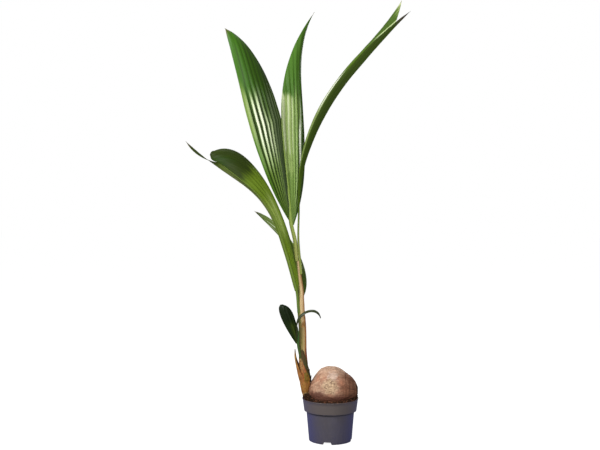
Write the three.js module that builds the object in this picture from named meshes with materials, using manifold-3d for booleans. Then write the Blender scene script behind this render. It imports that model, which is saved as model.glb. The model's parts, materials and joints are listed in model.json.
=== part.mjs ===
// A young coconut palm: a sprouted coconut, half buried in a round nursery pot, with its stem
// and five leaves. Young leaves of this palm are not feathered yet: each is a pleated blade
// whose two halves share a rib, part at its end and run out into a point of their own.
//
// Millimetres, +Z up. The origin is the centre of the pot's flat underside, and the plant is
// seen from the front when looking along +Y, with +X to the right.

import * as THREE from 'three';
import { mergeVertices } from 'three/addons/utils/BufferGeometryUtils.js';
import Module from 'manifold-3d';

const wasm = await Module();
wasm.setup();

// Clearance between pieces that touch
const GAP = 0.3;

// Nursery pot: radii are those of the outer wall, heights are above the ground
const POT = {
  height: 143,
  rimRadius: 96,
  rimBead: 1.5,
  collarFoot: 104,
  collarFootRadius: 89.5,
  wallTop: 97,
  wallTopRadius: 81.5,
  footRadius: 73,
  wall: 2,
  floor: 9,
  padRadius: 30,
  padSlope: 3,
  segments: 40,
};
const NOTCH = { count: 4, firstAngle: -97, width: 30, topWidth: 22, height: 8 };

// Potting soil, heaped against the rim at the sides and the back, and low in front. Its shoulder
// is drawn in rings, at these shares of the shoulder's width from the edge.
const SOIL = { edge: 139, frontRise: 4, backRise: 22, shoulder: 9, rings: [0, 0.25, 0.5, 0.75, 1, 2.5] };

// Coconut in its husk, lying on its side with its sprouting end to the left
const NUT = {
  centre: [9.5, 2, 165],
  halfLength: 85,
  halfDepth: 77,
  crown: 83,
  keel: 48,
  ridges: 3,
  ridgeHeight: 0.03,
  sectors: 28,
  bands: 18,
};

// Stem of rolled leaf sheaths, from its blunt root end to the top: [x, y, z, half width, half depth]
const STEM = {
  rows: [
    [-88, -6, 151, 5, 6],
    [-87, -5, 166, 11, 12],
    [-86, -4, 192, 17, 16],
    [-86, -3, 218, 17.5, 16],
    [-91, -2, 251, 14.5, 14],
    [-94, 0, 300, 13, 13],
    [-95, 0, 374, 12.3, 12.5],
    [-99, 0, 430, 12.3, 12],
    [-100.5, 0, 463, 12.2, 12],
    [-101, 0, 511, 9.5, 10],
    [-105, 0, 562, 8.6, 9],
    [-110, 0, 606, 8.4, 9],
  ],
  sides: 14,
  steps: 22,
};

// Papery sheath that stands off the foot of the stem on its left, in rows of the same form
const FOOT_SHEATH = {
  rows: [
    [-90, -7, 168, 7, 9],
    [-94, -7, 194, 9.5, 12],
    [-101, -6, 221, 9.5, 13],
    [-110, -5, 252, 6.8, 10],
    [-118.5, -4, 282, 3.6, 7],
    [-120.5, -3, 309, 1.4, 2.5],
  ],
  sides: 10,
  steps: 10,
};

// Two withered scales on the right of the stem's foot: [root, tip], each point [x, y, z]
const SCALES = [
  [[-70, -9, 200], [-64.5, -9, 222]],
  [[-75, -9, 219], [-70.5, -9, 243]],
];
const SCALE_RADII = [4.5, 1.2];
const SCALE_FACETS = { sides: 8, steps: 3 };

// Leaves. A stalk leaves the stem at its root, passes its bends and runs on as the rib, which is
// a cubic curve: [from, pull, pull, to]. A half of a leaf lies between the rib, carried on from
// its end to the half's tip by the margin's two pulls, and an outer edge, a cubic curve too.
// Cup is how far a half bulges out of flat, as a share of its width. A half is pointed unless
// it has a tipWidth.
const LEAVES = {
  upright_leaf: {
    colour: 0x4d7a2c,
    stalk: { root: [-114.5, 3, 606 + GAP], bends: [[-121, 2, 680]], radii: [6.8, 2.2] },
    rib: [[-135, 0, 743], [-142, 12, 860], [-162, 20, 979], [-168, 14, 1097]],
    halves: {
      left_half: {
        margin: [[-197, 2, 1204], [-251, -50, 1347]],
        outer: [[-138, 0, 742], [-262, -60, 945], [-291, -95, 1163], [-354, -70, 1389]],
        pleats: 9,
        thickness: 7,
        cup: 0.18,
      },
      right_half: {
        margin: [[-174, 15, 1228], [-138, 40, 1364]],
        outer: [[-120, 9, 706], [-24, 45, 993], [-167, 75, 1276], [-53, 75, 1480]],
        pleats: 7,
        thickness: 7.5,
        cup: -0.3,
      },
    },
  },
  right_leaf: {
    colour: 0x445a22,
    stalk: { root: [-103, -7, 606 + GAP], bends: [[-109, -9, 680]], radii: [3.5, 2.2] },
    rib: [[-108, -12, 760], [-127, -60, 1066], [-5, -110, 1218], [206, -155, 1389]],
    halves: {
      near_half: {
        margin: [[220, -158, 1401], [236, -162, 1411]],
        outer: [[-105, -14, 760], [-117, -110, 1045], [80, -175, 1237], [252, -165, 1421]],
        pleats: 5,
        thickness: 7.8,
        cup: -0.12,
      },
      far_half: {
        margin: [[214, -150, 1414], [223, -142, 1438]],
        outer: [[-105, -14, 760], [-99, -15, 1112], [63, -40, 1245], [227, -135, 1463]],
        pleats: 5,
        thickness: 8,
        cup: 0.12,
      },
    },
  },
  arching_leaf: {
    colour: 0x58702a,
    stalk: { root: [-109, -8, 452], bends: [], radii: [5.6, 2.4] },
    rib: [[-115, -12, 508], [-187, -40, 759], [-167, -90, 793], [-369, -140, 937]],
    halves: {
      broad_half: {
        margin: [[-379, -142, 947], [-391, -143, 955]],
        outer: [[-107, -12, 508], [-93, -5, 627], [-245, -60, 1069], [-394, -143, 970]],
        pleats: 6,
        thickness: 6.2,
        cup: -0.14,
        tipWidth: 16,
      },
      narrow_half: {
        margin: [[-409, -152, 944], [-450, -168, 962]],
        outer: [[-118, -10, 508], [-222, 20, 905], [-238, -60, 793], [-469, -180, 1001]],
        pleats: 4,
        thickness: 6.6,
        cup: -0.1,
      },
    },
  },
  back_leaf: {
    colour: 0x4c6a2e,
    rib: [[-98, 12, 486], [-157, 40, 680], [-117, 80, 637], [-266, 120, 782]],
    halves: {
      blade: {
        outer: [[-92, 12, 486], [-45, 35, 568], [-153, 70, 757], [-266, 120, 782]],
        pleats: 4,
        thickness: 3.8,
        cup: -0.15,
      },
    },
  },
  small_leaf: {
    colour: 0x1d3320,
    stalk: { root: [-103, -9, 292], bends: [], radii: [3.6, 1.4] },
    rib: [[-110, -12, 328], [-110, -14, 349], [-108, -17, 371], [-114, -20, 392]],
    halves: {
      broad_half: {
        margin: [[-123, -22, 419], [-129, -30, 462]],
        outer: [[-116, -12, 326], [-124, -25, 325], [-200, -50, 470], [-166, -40, 465]],
        pleats: 4,
        thickness: 2.4,
        cup: 0.15,
        tipWidth: 12,
      },
      thin_half: {
        margin: [[-122, -26, 432], [-36, -32, 461]],
        outer: [[-110, -14, 328], [-140, -50, 424], [-60, -62, 476], [-34, -38, 418]],
        pleats: 2,
        thickness: 2.6,
        cup: -0.05,
      },
    },
  },
};
// A pleat's depth is also held to a share of the pleat's own width. Near its ends a half takes the
// directions that it has an end share further in, and from the tip's start it widens to its tip.
const PLEAT_DEPTH = 5;
const PLEAT_STEEPNESS = 0.4;
const BLADE_STEPS = 12;
const END_SHARE = 0.03;
const TIP_START = 0.75;
const POINT_WIDTH = 3;
const STALK_SIDES = 8;
const STALK_STEPS = 14;
const RIB_SHARE = 0.97;

const FINISHES = {
  pot: { color: 0x50505f, roughness: 0.5 },
  soil: { color: 0x2a1c14, roughness: 0.95 },
  husk: { color: 0xb98a6c, roughness: 0.85 },
  stem: { color: 0xa5854a, roughness: 0.6 },
  sheath: { color: 0x9a6a35, roughness: 0.7 },
  scale: { color: 0x2b2018, roughness: 0.85 },
};

const point = ([x, y, z]) => new THREE.Vector3(x, y, z);
const mix = (a, b, share) => a + (b - a) * share;
const smooth = (share) => THREE.MathUtils.smoothstep(share, 0, 1);

// A closed mesh with its seams welded, as a solid that can be joined and cut
function solid(geometry) {
  geometry.deleteAttribute('normal');
  geometry.deleteAttribute('uv');
  const welded = mergeVertices(geometry, 1e-4);
  const vertProperties = welded.attributes.position.array;
  return new wasm.Manifold(new wasm.Mesh({ numProp: 3, vertProperties, triVerts: welded.index.array }));
}

// The solid's largest piece as a geometry again, without the scraps that a cut leaves
function geometryOf(body) {
  const pieces = body.decompose().sort((a, b) => b.volume() - a.volume());
  const mesh = pieces[0].getMesh();
  const geometry = new THREE.BufferGeometry();
  geometry.setAttribute('position', new THREE.BufferAttribute(mesh.vertProperties, mesh.numProp));
  geometry.setIndex(new THREE.BufferAttribute(mesh.triVerts, 1));
  geometry.computeVertexNormals();
  return geometry;
}

// Moves every corner of a geometry to the place that a function gives for it
function reshape(geometry, placeFor) {
  const corners = geometry.attributes.position;
  for (let i = 0; i < corners.count; i += 1) {
    const corner = new THREE.Vector3().fromBufferAttribute(corners, i);
    corners.setXYZ(i, ...placeFor(corner).toArray());
  }
  return geometry;
}

// -1 or 1 on the two end faces of a piece of unit length, and 0 between them
const endOf = (place) => (Math.abs(place) === 0.5 ? Math.sign(place) : 0);

// A tapering limb with oval sections, laid along a curve and grown by a margin on every side
function limb(route, halfSizes, { sides, steps }, margin = 0) {
  const rod = new THREE.CylinderGeometry(1, 1, 1, sides, steps);
  return solid(reshape(rod, (corner) => {
    const along = corner.y + 0.5;
    const heading = route.getTangent(along);
    const across = new THREE.Vector3(0, 1, 0).cross(heading).normalize();
    const deep = across.clone().cross(heading);
    const [width, depth] = halfSizes(along);
    return route.getPoint(along)
      .addScaledVector(across, corner.x * (width + margin))
      .addScaledVector(deep, corner.z * (depth + margin))
      .addScaledVector(heading, endOf(corner.y) * margin);
  }));
}

// A limb from rows of [x, y, z, half width, half depth]
function limbThrough({ rows, sides, steps }, margin = 0) {
  const route = new THREE.CatmullRomCurve3(rows.map(point));
  const last = rows.length - 1;
  const halfSizes = (along) => {
    const row = Math.min(Math.floor(along * last), last - 1);
    const share = along * last - row;
    return [3, 4].map((column) => mix(rows[row][column], rows[row + 1][column], share));
  };
  return limb(route, halfSizes, { sides, steps }, margin);
}

const cubic = (points) => new THREE.CubicBezierCurve3(...points.map(point));

// The inner edge of a half: the rib, and from its end the free margin to the tip
function innerEdge(rib, { margin, outer }) {
  const edge = new THREE.CurvePath();
  edge.add(cubic(rib));
  if (margin) edge.add(cubic([rib.at(-1), ...margin, outer.at(-1)]));
  return edge;
}

// A pleated half of a leaf: a slab between its two edges, folded in a zigzag along its length
function blade(rib, half, margin = 0) {
  const { pleats, thickness, cup, tipWidth = POINT_WIDTH } = half;
  const slab = new THREE.BoxGeometry(1, 1, 1, 2 * pleats, 1, BLADE_STEPS);
  const inner = innerEdge(rib, half);
  const outer = cubic(half.outer);
  return solid(reshape(slab, (corner) => {
    const across = corner.x + 0.5;
    const along = corner.z + 0.5;
    const inside = THREE.MathUtils.clamp(along, END_SHARE, 1 - END_SHARE);
    const side = outer.getPointAt(inside).sub(inner.getPointAt(inside)).normalize();
    const heading = inner.getTangentAt(inside).add(outer.getTangentAt(inside)).normalize();
    const face = heading.clone().cross(side).normalize();
    const from = inner.getPointAt(along);
    const to = outer.getPointAt(along);
    const leastWidth = mix(POINT_WIDTH, tipWidth, THREE.MathUtils.smoothstep(along, TIP_START, 1));
    const width = Math.max(from.distanceTo(to), leastWidth);
    const spread = across + (endOf(corner.x) * margin) / width;
    const pleatDepth = Math.min(PLEAT_DEPTH, PLEAT_STEEPNESS * width / pleats);
    const isRidge = Math.round(across * 2 * pleats) % 2 === 1;
    const overhang = Math.abs(spread - across) * 2 * pleats;
    const fold = isRidge ? 0.5 : -0.5 - overhang;
    const bulge = cup * width * 4 * spread * (1 - spread);
    return from.add(to).multiplyScalar(0.5)
      .addScaledVector(side, (spread - 0.5) * width)
      .addScaledVector(face, bulge + fold * pleatDepth + corner.y * (thickness + 2 * margin))
      .addScaledVector(heading, endOf(corner.z) * margin);
  }));
}

// The stalk of a leaf, and the rib that it runs on as
function stalk({ stalk: { root, bends, radii }, rib }, margin = 0) {
  const ribCurve = cubic(rib);
  const ribPoints = [0, 0.25, 0.5, 0.75, 1].map((share) => ribCurve.getPoint(share * RIB_SHARE));
  const route = new THREE.CatmullRomCurve3([point(root), ...bends.map(point), ...ribPoints]);
  const halfSizes = (along) => [mix(...radii, along ** 2), mix(...radii, along ** 2)];
  return limb(route, halfSizes, { sides: STALK_SIDES, steps: STALK_STEPS }, margin);
}

// A solid turned about the upright axis from a profile of [radius, height]
function turned(profile) {
  const outline = profile.map(([radius, height]) => new THREE.Vector2(radius, height));
  return new THREE.LatheGeometry(outline, POT.segments).rotateX(Math.PI / 2);
}

// The inside of the pot from the rim down to the middle, drawn in by a margin
function potInside(margin) {
  const inset = POT.wall + margin;
  const wellRadius = POT.padRadius - inset;
  return [
    [POT.rimRadius - POT.rimBead - inset, POT.height],
    [POT.collarFootRadius - inset, POT.collarFoot + inset],
    [POT.wallTopRadius - inset, POT.wallTop + inset],
    [POT.footRadius - inset, POT.floor + inset],
    [wellRadius + POT.padSlope, POT.floor + inset],
    [wellRadius, inset],
    [0, inset],
  ];
}

// A drain notch through the pot's skirt, narrower at its top
function notch(angle) {
  const outline = new THREE.Shape([
    new THREE.Vector2(-NOTCH.width / 2, -1),
    new THREE.Vector2(NOTCH.width / 2, -1),
    new THREE.Vector2(NOTCH.topWidth / 2, NOTCH.height),
    new THREE.Vector2(-NOTCH.topWidth / 2, NOTCH.height),
  ]);
  const depth = 4 * POT.wall;
  const wedge = new THREE.ExtrudeGeometry(outline, { depth, bevelEnabled: false });
  wedge.rotateX(Math.PI / 2).rotateZ(Math.PI / 2);
  wedge.translate(POT.footRadius - depth / 2, 0, 0);
  return solid(wedge.rotateZ(THREE.MathUtils.degToRad(angle)));
}

// The pot: skirt, floor with a central pad, wall, collar and rim, with the notches cut
function pot() {
  const skirt = POT.footRadius - POT.wall;
  let body = solid(turned([
    [0, 0],
    [POT.padRadius, 0],
    [POT.padRadius + POT.padSlope, POT.floor],
    [skirt, POT.floor],
    [skirt, 0],
    [POT.footRadius, 0],
    [POT.wallTopRadius, POT.wallTop],
    [POT.collarFootRadius, POT.collarFoot],
    [POT.rimRadius - POT.rimBead, POT.height - 2 * POT.rimBead],
    [POT.rimRadius, POT.height - POT.rimBead],
    [POT.rimRadius - POT.rimBead, POT.height],
    ...potInside(0),
  ]));
  for (let i = 0; i < NOTCH.count; i += 1) {
    body = body.subtract(notch(NOTCH.firstAngle + (i * 360) / NOTCH.count));
  }
  return body;
}

// The soil fills the pot and is heaped against the rim, except in front
function soil() {
  const edgeRadius = POT.rimRadius - POT.rimBead - POT.wall - 2 * GAP;
  const rings = SOIL.rings.map((share) => [edgeRadius - share * SOIL.shoulder, SOIL.edge]);
  const filling = turned([...potInside(GAP).slice(1).reverse(), ...rings, [0, SOIL.edge]]);
  return solid(reshape(filling, (corner) => {
    if (corner.z < SOIL.edge - GAP) return corner;
    const radius = Math.hypot(corner.x, corner.y);
    const backness = 1 + corner.y / Math.max(radius, 1);
    const rise = mix(SOIL.frontRise, SOIL.backRise, smooth(backness));
    corner.z += rise * smooth((edgeRadius - radius) / SOIL.shoulder);
    return corner;
  }));
}

// The husked coconut: an egg with blunt ridges, fuller above than below
function nut(margin = 0) {
  const ball = new THREE.SphereGeometry(1, NUT.sectors, NUT.bands).rotateZ(Math.PI / 2);
  return solid(reshape(ball, (corner) => {
    const around = Math.atan2(corner.z, corner.y);
    const ridge = 1 + NUT.ridgeHeight * Math.cos(NUT.ridges * (around - Math.PI / 2));
    const height = corner.z > 0 ? NUT.crown : NUT.keel;
    return point(NUT.centre).add(new THREE.Vector3(
      corner.x * (NUT.halfLength + margin),
      corner.y * (NUT.halfDepth + margin) * ridge,
      corner.z * (height + margin) * ridge,
    ));
  }));
}

// A withered scale: a short cone that lies against the foot of the stem
function scale([root, tip]) {
  const halfSizes = (along) => [mix(...SCALE_RADII, along), mix(...SCALE_RADII, along)];
  return limb(new THREE.LineCurve3(point(root), point(tip)), halfSizes, SCALE_FACETS);
}

const plant = new THREE.Group();

function add(name, body, finish) {
  const material = new THREE.MeshStandardMaterial({ metalness: 0, ...finish });
  const mesh = new THREE.Mesh(geometryOf(body), material);
  mesh.name = name;
  plant.add(mesh);
}

const stemSpace = limbThrough(STEM, GAP);
const nutSpace = nut(GAP);
const footSpace = nutSpace.add(stemSpace);

add('pot', pot(), FINISHES.pot);
add('soil', soil().subtract(footSpace), FINISHES.soil);
add('coconut', nut().subtract(stemSpace), FINISHES.husk);
add('stem', limbThrough(STEM), FINISHES.stem);
add('foot_sheath', limbThrough(FOOT_SHEATH).subtract(footSpace), FINISHES.sheath);
SCALES.forEach((ends, i) => add(`scale_${i + 1}`, scale(ends).subtract(footSpace), FINISHES.scale));

// Each leaf is cut clear of the stem and of its own stalk, and a second half of the first
for (const [leafName, leaf] of Object.entries(LEAVES)) {
  const finish = { color: leaf.colour, roughness: 0.45 };
  let taken = stemSpace;
  if (leaf.stalk) {
    add(`${leafName}_stalk`, stalk(leaf).subtract(stemSpace), finish);
    taken = taken.add(stalk(leaf, GAP));
  }
  for (const [halfName, half] of Object.entries(leaf.halves)) {
    add(`${leafName}_${halfName}`, blade(leaf.rib, half).subtract(taken), finish);
    taken = taken.add(blade(leaf.rib, half, GAP));
  }
}

export default plant;
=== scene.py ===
"""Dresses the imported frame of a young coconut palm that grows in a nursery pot.

Sizes in the classes are millimetres, +Z is up, and the plant is seen from the front when looking
along +Y. Meshes are made in metres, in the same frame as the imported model.
"""

import json
import logging
import math
import random
from abc import ABC, abstractmethod
from collections.abc import Callable, Sequence
from dataclasses import dataclass
from enum import Enum
from inspect import signature
from pathlib import Path
from typing import NamedTuple

import bmesh
import bpy
import numpy as np
from mathutils import Matrix, Vector, noise
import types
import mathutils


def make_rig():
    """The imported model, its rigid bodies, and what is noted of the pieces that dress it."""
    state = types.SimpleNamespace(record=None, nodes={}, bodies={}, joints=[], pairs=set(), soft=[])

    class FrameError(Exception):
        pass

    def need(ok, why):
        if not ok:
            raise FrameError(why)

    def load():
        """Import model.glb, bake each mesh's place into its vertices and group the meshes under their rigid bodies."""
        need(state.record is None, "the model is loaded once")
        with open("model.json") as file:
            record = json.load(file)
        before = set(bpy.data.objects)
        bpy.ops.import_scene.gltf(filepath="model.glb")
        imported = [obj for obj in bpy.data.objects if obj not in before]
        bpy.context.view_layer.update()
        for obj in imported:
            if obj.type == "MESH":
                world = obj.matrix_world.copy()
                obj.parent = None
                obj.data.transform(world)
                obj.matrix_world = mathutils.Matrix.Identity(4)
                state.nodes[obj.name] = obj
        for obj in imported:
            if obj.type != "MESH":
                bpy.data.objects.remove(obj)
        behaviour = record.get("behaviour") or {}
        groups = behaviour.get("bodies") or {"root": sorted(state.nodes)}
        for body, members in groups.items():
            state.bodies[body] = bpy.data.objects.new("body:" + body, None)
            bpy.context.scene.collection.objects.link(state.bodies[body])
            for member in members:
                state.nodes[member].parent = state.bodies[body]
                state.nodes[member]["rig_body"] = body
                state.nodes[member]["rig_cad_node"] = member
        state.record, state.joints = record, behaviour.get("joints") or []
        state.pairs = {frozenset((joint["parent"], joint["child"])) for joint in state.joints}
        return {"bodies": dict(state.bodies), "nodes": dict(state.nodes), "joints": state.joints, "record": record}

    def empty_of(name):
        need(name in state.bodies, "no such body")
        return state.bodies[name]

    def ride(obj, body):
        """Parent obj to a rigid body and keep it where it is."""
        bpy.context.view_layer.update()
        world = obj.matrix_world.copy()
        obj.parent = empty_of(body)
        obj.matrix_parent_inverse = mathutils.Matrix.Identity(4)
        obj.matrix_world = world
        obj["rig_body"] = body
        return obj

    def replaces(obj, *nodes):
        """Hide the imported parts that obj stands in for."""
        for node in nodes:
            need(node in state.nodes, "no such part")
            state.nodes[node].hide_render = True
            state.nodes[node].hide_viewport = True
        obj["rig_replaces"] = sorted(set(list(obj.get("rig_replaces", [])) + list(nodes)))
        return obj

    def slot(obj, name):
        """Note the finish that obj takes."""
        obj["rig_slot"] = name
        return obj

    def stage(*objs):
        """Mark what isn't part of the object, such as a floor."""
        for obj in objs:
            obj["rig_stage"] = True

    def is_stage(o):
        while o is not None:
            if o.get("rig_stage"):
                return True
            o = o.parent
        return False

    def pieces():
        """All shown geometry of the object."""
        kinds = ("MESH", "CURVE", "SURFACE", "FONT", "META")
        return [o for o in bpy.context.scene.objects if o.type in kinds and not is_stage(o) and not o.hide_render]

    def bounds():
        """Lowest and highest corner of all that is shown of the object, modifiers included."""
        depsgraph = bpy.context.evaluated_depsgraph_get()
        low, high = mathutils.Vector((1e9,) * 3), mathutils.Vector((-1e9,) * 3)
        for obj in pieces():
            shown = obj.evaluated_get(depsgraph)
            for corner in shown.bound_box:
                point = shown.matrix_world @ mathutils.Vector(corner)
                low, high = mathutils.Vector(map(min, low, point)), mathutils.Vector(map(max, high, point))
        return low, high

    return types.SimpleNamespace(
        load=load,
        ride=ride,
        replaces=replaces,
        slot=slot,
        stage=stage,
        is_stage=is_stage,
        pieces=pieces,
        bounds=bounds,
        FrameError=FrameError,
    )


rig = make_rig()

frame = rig.load()
cad_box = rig.bounds()

LOG = logging.getLogger("palm")
MM = 0.001
FULL_TURN = 2 * math.pi
FLAT_MAP = "flat"
ORIGIN = (0.0, 0.0, 0.0)
WHITE = (1.0, 1.0, 1.0, 1.0)
NOISE_GAIN, NOISE_STEP = 0.9, 2.1
LEAF_SHARE, LEAF_GLARE = 0.98, 0.011

Array = np.ndarray
Colour = tuple[float, float, float, float]
Place = tuple[float, float, float]
Pair = tuple[float, float]
Row = tuple[float, float, float, float, float]
Cubic = tuple[Place, Place, Place, Place]
HalfSizes = Callable[[Array], tuple[Array, Array]]
Piece = bpy.types.Object
Socket = bpy.types.NodeSocket
Wired = Socket | float | Sequence[float]
Given = dict[str, Socket]


class RecordSlot(Enum):
    """The record's material slots."""

    POT = "pot_plastic"
    SOIL = "potting_soil"
    HUSK = "coconut_husk"
    STEM = "stem_skin"
    DRY = "dry_sheath"
    STALK = "leaf_stalk"
    LEAF = "leaf_green"
    SMALL_LEAF = "small_leaf_green"


class Flank(Enum):
    """The faces of a pleat: the sunlit and the shaded side of its fold, which take lit and shaded copies of the paint
    as painted light and shade, the vein on the fold, and the underside.
    """

    SUN = 0
    SHADE = 1
    VEIN = 2
    UNDER = 3


# Painted light and shade: how much lighter or darker each face's copy of the leaf paint is; the underside's is paler.
FLANK_LIGHT = {Flank.SUN: 1.04, Flank.SHADE: 0.9, Flank.VEIN: 1.0, Flank.UNDER: 1.06}
ALL_FLANKS = frozenset(Flank)
SHADED = frozenset({Flank.SHADE})
ALL = (-9, 99)


def screen(*shown: int) -> Colour:
    """Turns a screen's red, green and blue, each up to 255, into a shader's linear colour."""
    shares = [channel / 255 for channel in shown]
    return (*(s / 12.92 if s <= 0.04045 else ((s + 0.055) / 1.055) ** 2.4 for s in shares), 1.0)


def leafy(*shown: int) -> Colour:
    """Turns a glossy leaf's colour on a screen into its own, without the lamps' glare."""
    return (*(max(c * LEAF_SHARE - LEAF_GLARE, 0.001) for c in screen(*shown)[:3]), 1.0)


def tinted(colour: Colour, light: float) -> Colour:
    """Makes a colour lighter or darker by a factor."""
    return (colour[0] * light, colour[1] * light, colour[2] * light, 1.0)


def smooth(share: Array | float) -> Array:
    """Eases a share from 0 to 1, level at both ends."""
    held = np.clip(share, 0.0, 1.0)
    return held * held * (3.0 - 2.0 * held)


def unit(vectors: Array) -> Array:
    """Scales vectors to unit length."""
    return vectors / np.maximum(np.linalg.norm(vectors, axis=-1, keepdims=True), 1e-9)


def rough(x: Array, y: Array, z: Array | float, octaves: int = 3) -> Array:
    """Gives seedless noise from about -1 to 1 at places, with about one bump for each unit."""
    drawn = np.vectorize(lambda *place: noise.fractal(place, NOISE_GAIN, NOISE_STEP, octaves))
    return drawn(x, y, z)


def cubic(curve: Cubic, t: Array) -> Array:
    """Gives points of a cubic curve, which is given by its start, its two pulls and its end."""
    weights = ((1 - t) ** 3, 3 * t * (1 - t) ** 2, 3 * t * t * (1 - t), t**3)
    return sum(weight[:, None] * np.array(place, float) for weight, place in zip(weights, curve))


# Shapes


class Curve:
    """A line through space, read by a share from its start to its end."""

    def __init__(self, points: Array, by_length: bool = True) -> None:
        """Keeps the line.

        Args:
            points: the line's points, close together.
            by_length: whether a share is one of the length, or else of the number of points.
        """
        steps = np.linalg.norm(np.diff(points, axis=0), axis=1)
        if not by_length:
            steps = np.ones_like(steps)
        self.points = points
        self.shares = np.concatenate([[0.0], np.cumsum(steps)]) / steps.sum()

    @classmethod
    def cubics(cls, *curves: Cubic) -> "Curve":
        """Lays cubic curves end to end, as a line that is read by its length."""
        parts = [cubic(curve, np.linspace(0, 1, 160)) for curve in curves]
        return cls(np.concatenate([parts[0]] + [part[1:] for part in parts[1:]]))

    @classmethod
    def through(cls, places: Sequence[Place]) -> "Curve":
        """Passes a smooth line through places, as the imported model's limbs do.

        Args:
            places: the places, in order.

        Returns:
            The line, read by the number of places passed.
        """
        inner = np.array(places, float)
        points = np.concatenate([[2 * inner[0] - inner[1]], inner, [2 * inner[-1] - inner[-2]]])
        t = np.linspace(0, 1, 24, endpoint=False)[:, None]
        spans = []
        for quad in zip(points, points[1:], points[2:], points[3:]):
            d0, d1, d2 = (max(np.linalg.norm(b - a) ** 0.5, 1e-4) for a, b in zip(quad, quad[1:]))
            p0, p1, p2, p3 = quad
            start = ((p1 - p0) / d0 - (p2 - p0) / (d0 + d1) + (p2 - p1) / d1) * d1
            end = ((p2 - p1) / d1 - (p3 - p1) / (d1 + d2) + (p3 - p2) / d2) * d1
            bent = (-3 * p1 + 3 * p2 - 2 * start - end) * t**2
            spans.append(p1 + start * t + bent + (2 * p1 - 2 * p2 + start + end) * t**3)
        return cls(np.concatenate(spans + [inner[-1:]]), by_length=False)

    def at(self, shares: Array) -> Array:
        """Gives the places at some shares of the line."""
        return np.stack([np.interp(shares, self.shares, column) for column in self.points.T], -1)

    def heading(self, shares: Array) -> Array:
        """Gives the directions of the line at some shares, of unit length."""
        step = 0.006
        return unit(self.at(np.clip(shares + step, 0, 1)) - self.at(np.clip(shares - step, 0, 1)))

    def rings(self, shares: Array, x: Array, y: Array) -> Array:
        """Lays rings of corners across the line.

        Args:
            shares: the share of the line at each ring.
            x: how far each corner is to the right of the line, by ring and corner.
            y: how far it is in front of it.

        Returns:
            The corners.
        """
        heading = self.heading(shares)
        across = unit(np.cross(np.array([0.0, 1.0, 0.0]), heading))
        deep = np.cross(across, heading)
        aside = x[..., None] * across[:, None] + y[..., None] * deep[:, None]
        return self.at(shares)[:, None] + aside


def read_rows(rows: Sequence[Row]) -> tuple[Curve, HalfSizes]:
    """Reads a limb's rows, each a place with half the width and half the depth there.

    Args:
        rows: the rows, an even step apart.

    Returns:
        The route through the places, and the half sizes as a function of the share along.
    """
    table = np.array(rows, float)
    keys = np.linspace(0, 1, len(table))

    def half_sizes(along: Array) -> tuple[Array, ...]:
        """Gives half the width and half the depth at some shares along."""
        return tuple(np.interp(along, keys, column) for column in table[:, 3:].T)

    return Curve.through(table[:, :3]), half_sizes


@dataclass(frozen=True)
class Limb:
    """A tapering limb with oval sections, laid along a route.

    Its arrays have a row for each step along and a column for each turn. A turn of 0 is on the
    right, a quarter turn in front. CAP gives the rings of an end: each one's share of the girth,
    and how far out it is in half sizes.
    """

    route: Curve
    half_sizes: HalfSizes
    sides: int
    steps: int
    CAP = ((0.82, 0.3), (0.5, 0.5), (0.0, 0.58))

    @property
    def along(self) -> Array:
        """Gives the steps' shares along, as a column."""
        return np.linspace(0, 1, self.steps + 1)[:, None]

    @property
    def turn(self) -> Array:
        """Gives the turns in radians, as a row."""
        return np.linspace(0, FULL_TURN, self.sides, endpoint=False)[None, :]

    def skin_noise(self, around: float, along: Array) -> Array:
        """Gives noise on the skin, by its bumps around and by the noise's place at each step."""
        return rough(np.cos(self.turn) * around, np.sin(self.turn) * around, along)

    def surface(self, relief: Array) -> tuple[Array, Array]:
        """Gives the limb's corners, closed at both ends by a blunt cap.

        Args:
            relief: height in millimetres over the plain limb.

        Returns:
            The corners by ring, and each ring's share along.
        """
        shares = self.along[:, 0]
        wide, thick = self.half_sizes(self.along)
        x, y = np.cos(self.turn) * (wide + relief), np.sin(self.turn) * (thick + relief)
        body = self.route.rings(shares, x, y)
        middle, heading = self.route.at(shares), self.route.heading(shares)
        caps = []
        for end, sign in ((0, -1), (-1, 1)):
            out = heading[end] * sign * min(wide[end], thick[end])
            girth = body[end] - middle[end]
            caps.append([middle[end] + out * by + girth * share for share, by in self.CAP])
        corners = np.concatenate([caps[0][::-1], body, caps[1]])
        return corners, np.pad(shares, len(self.CAP), mode="edge")


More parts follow.
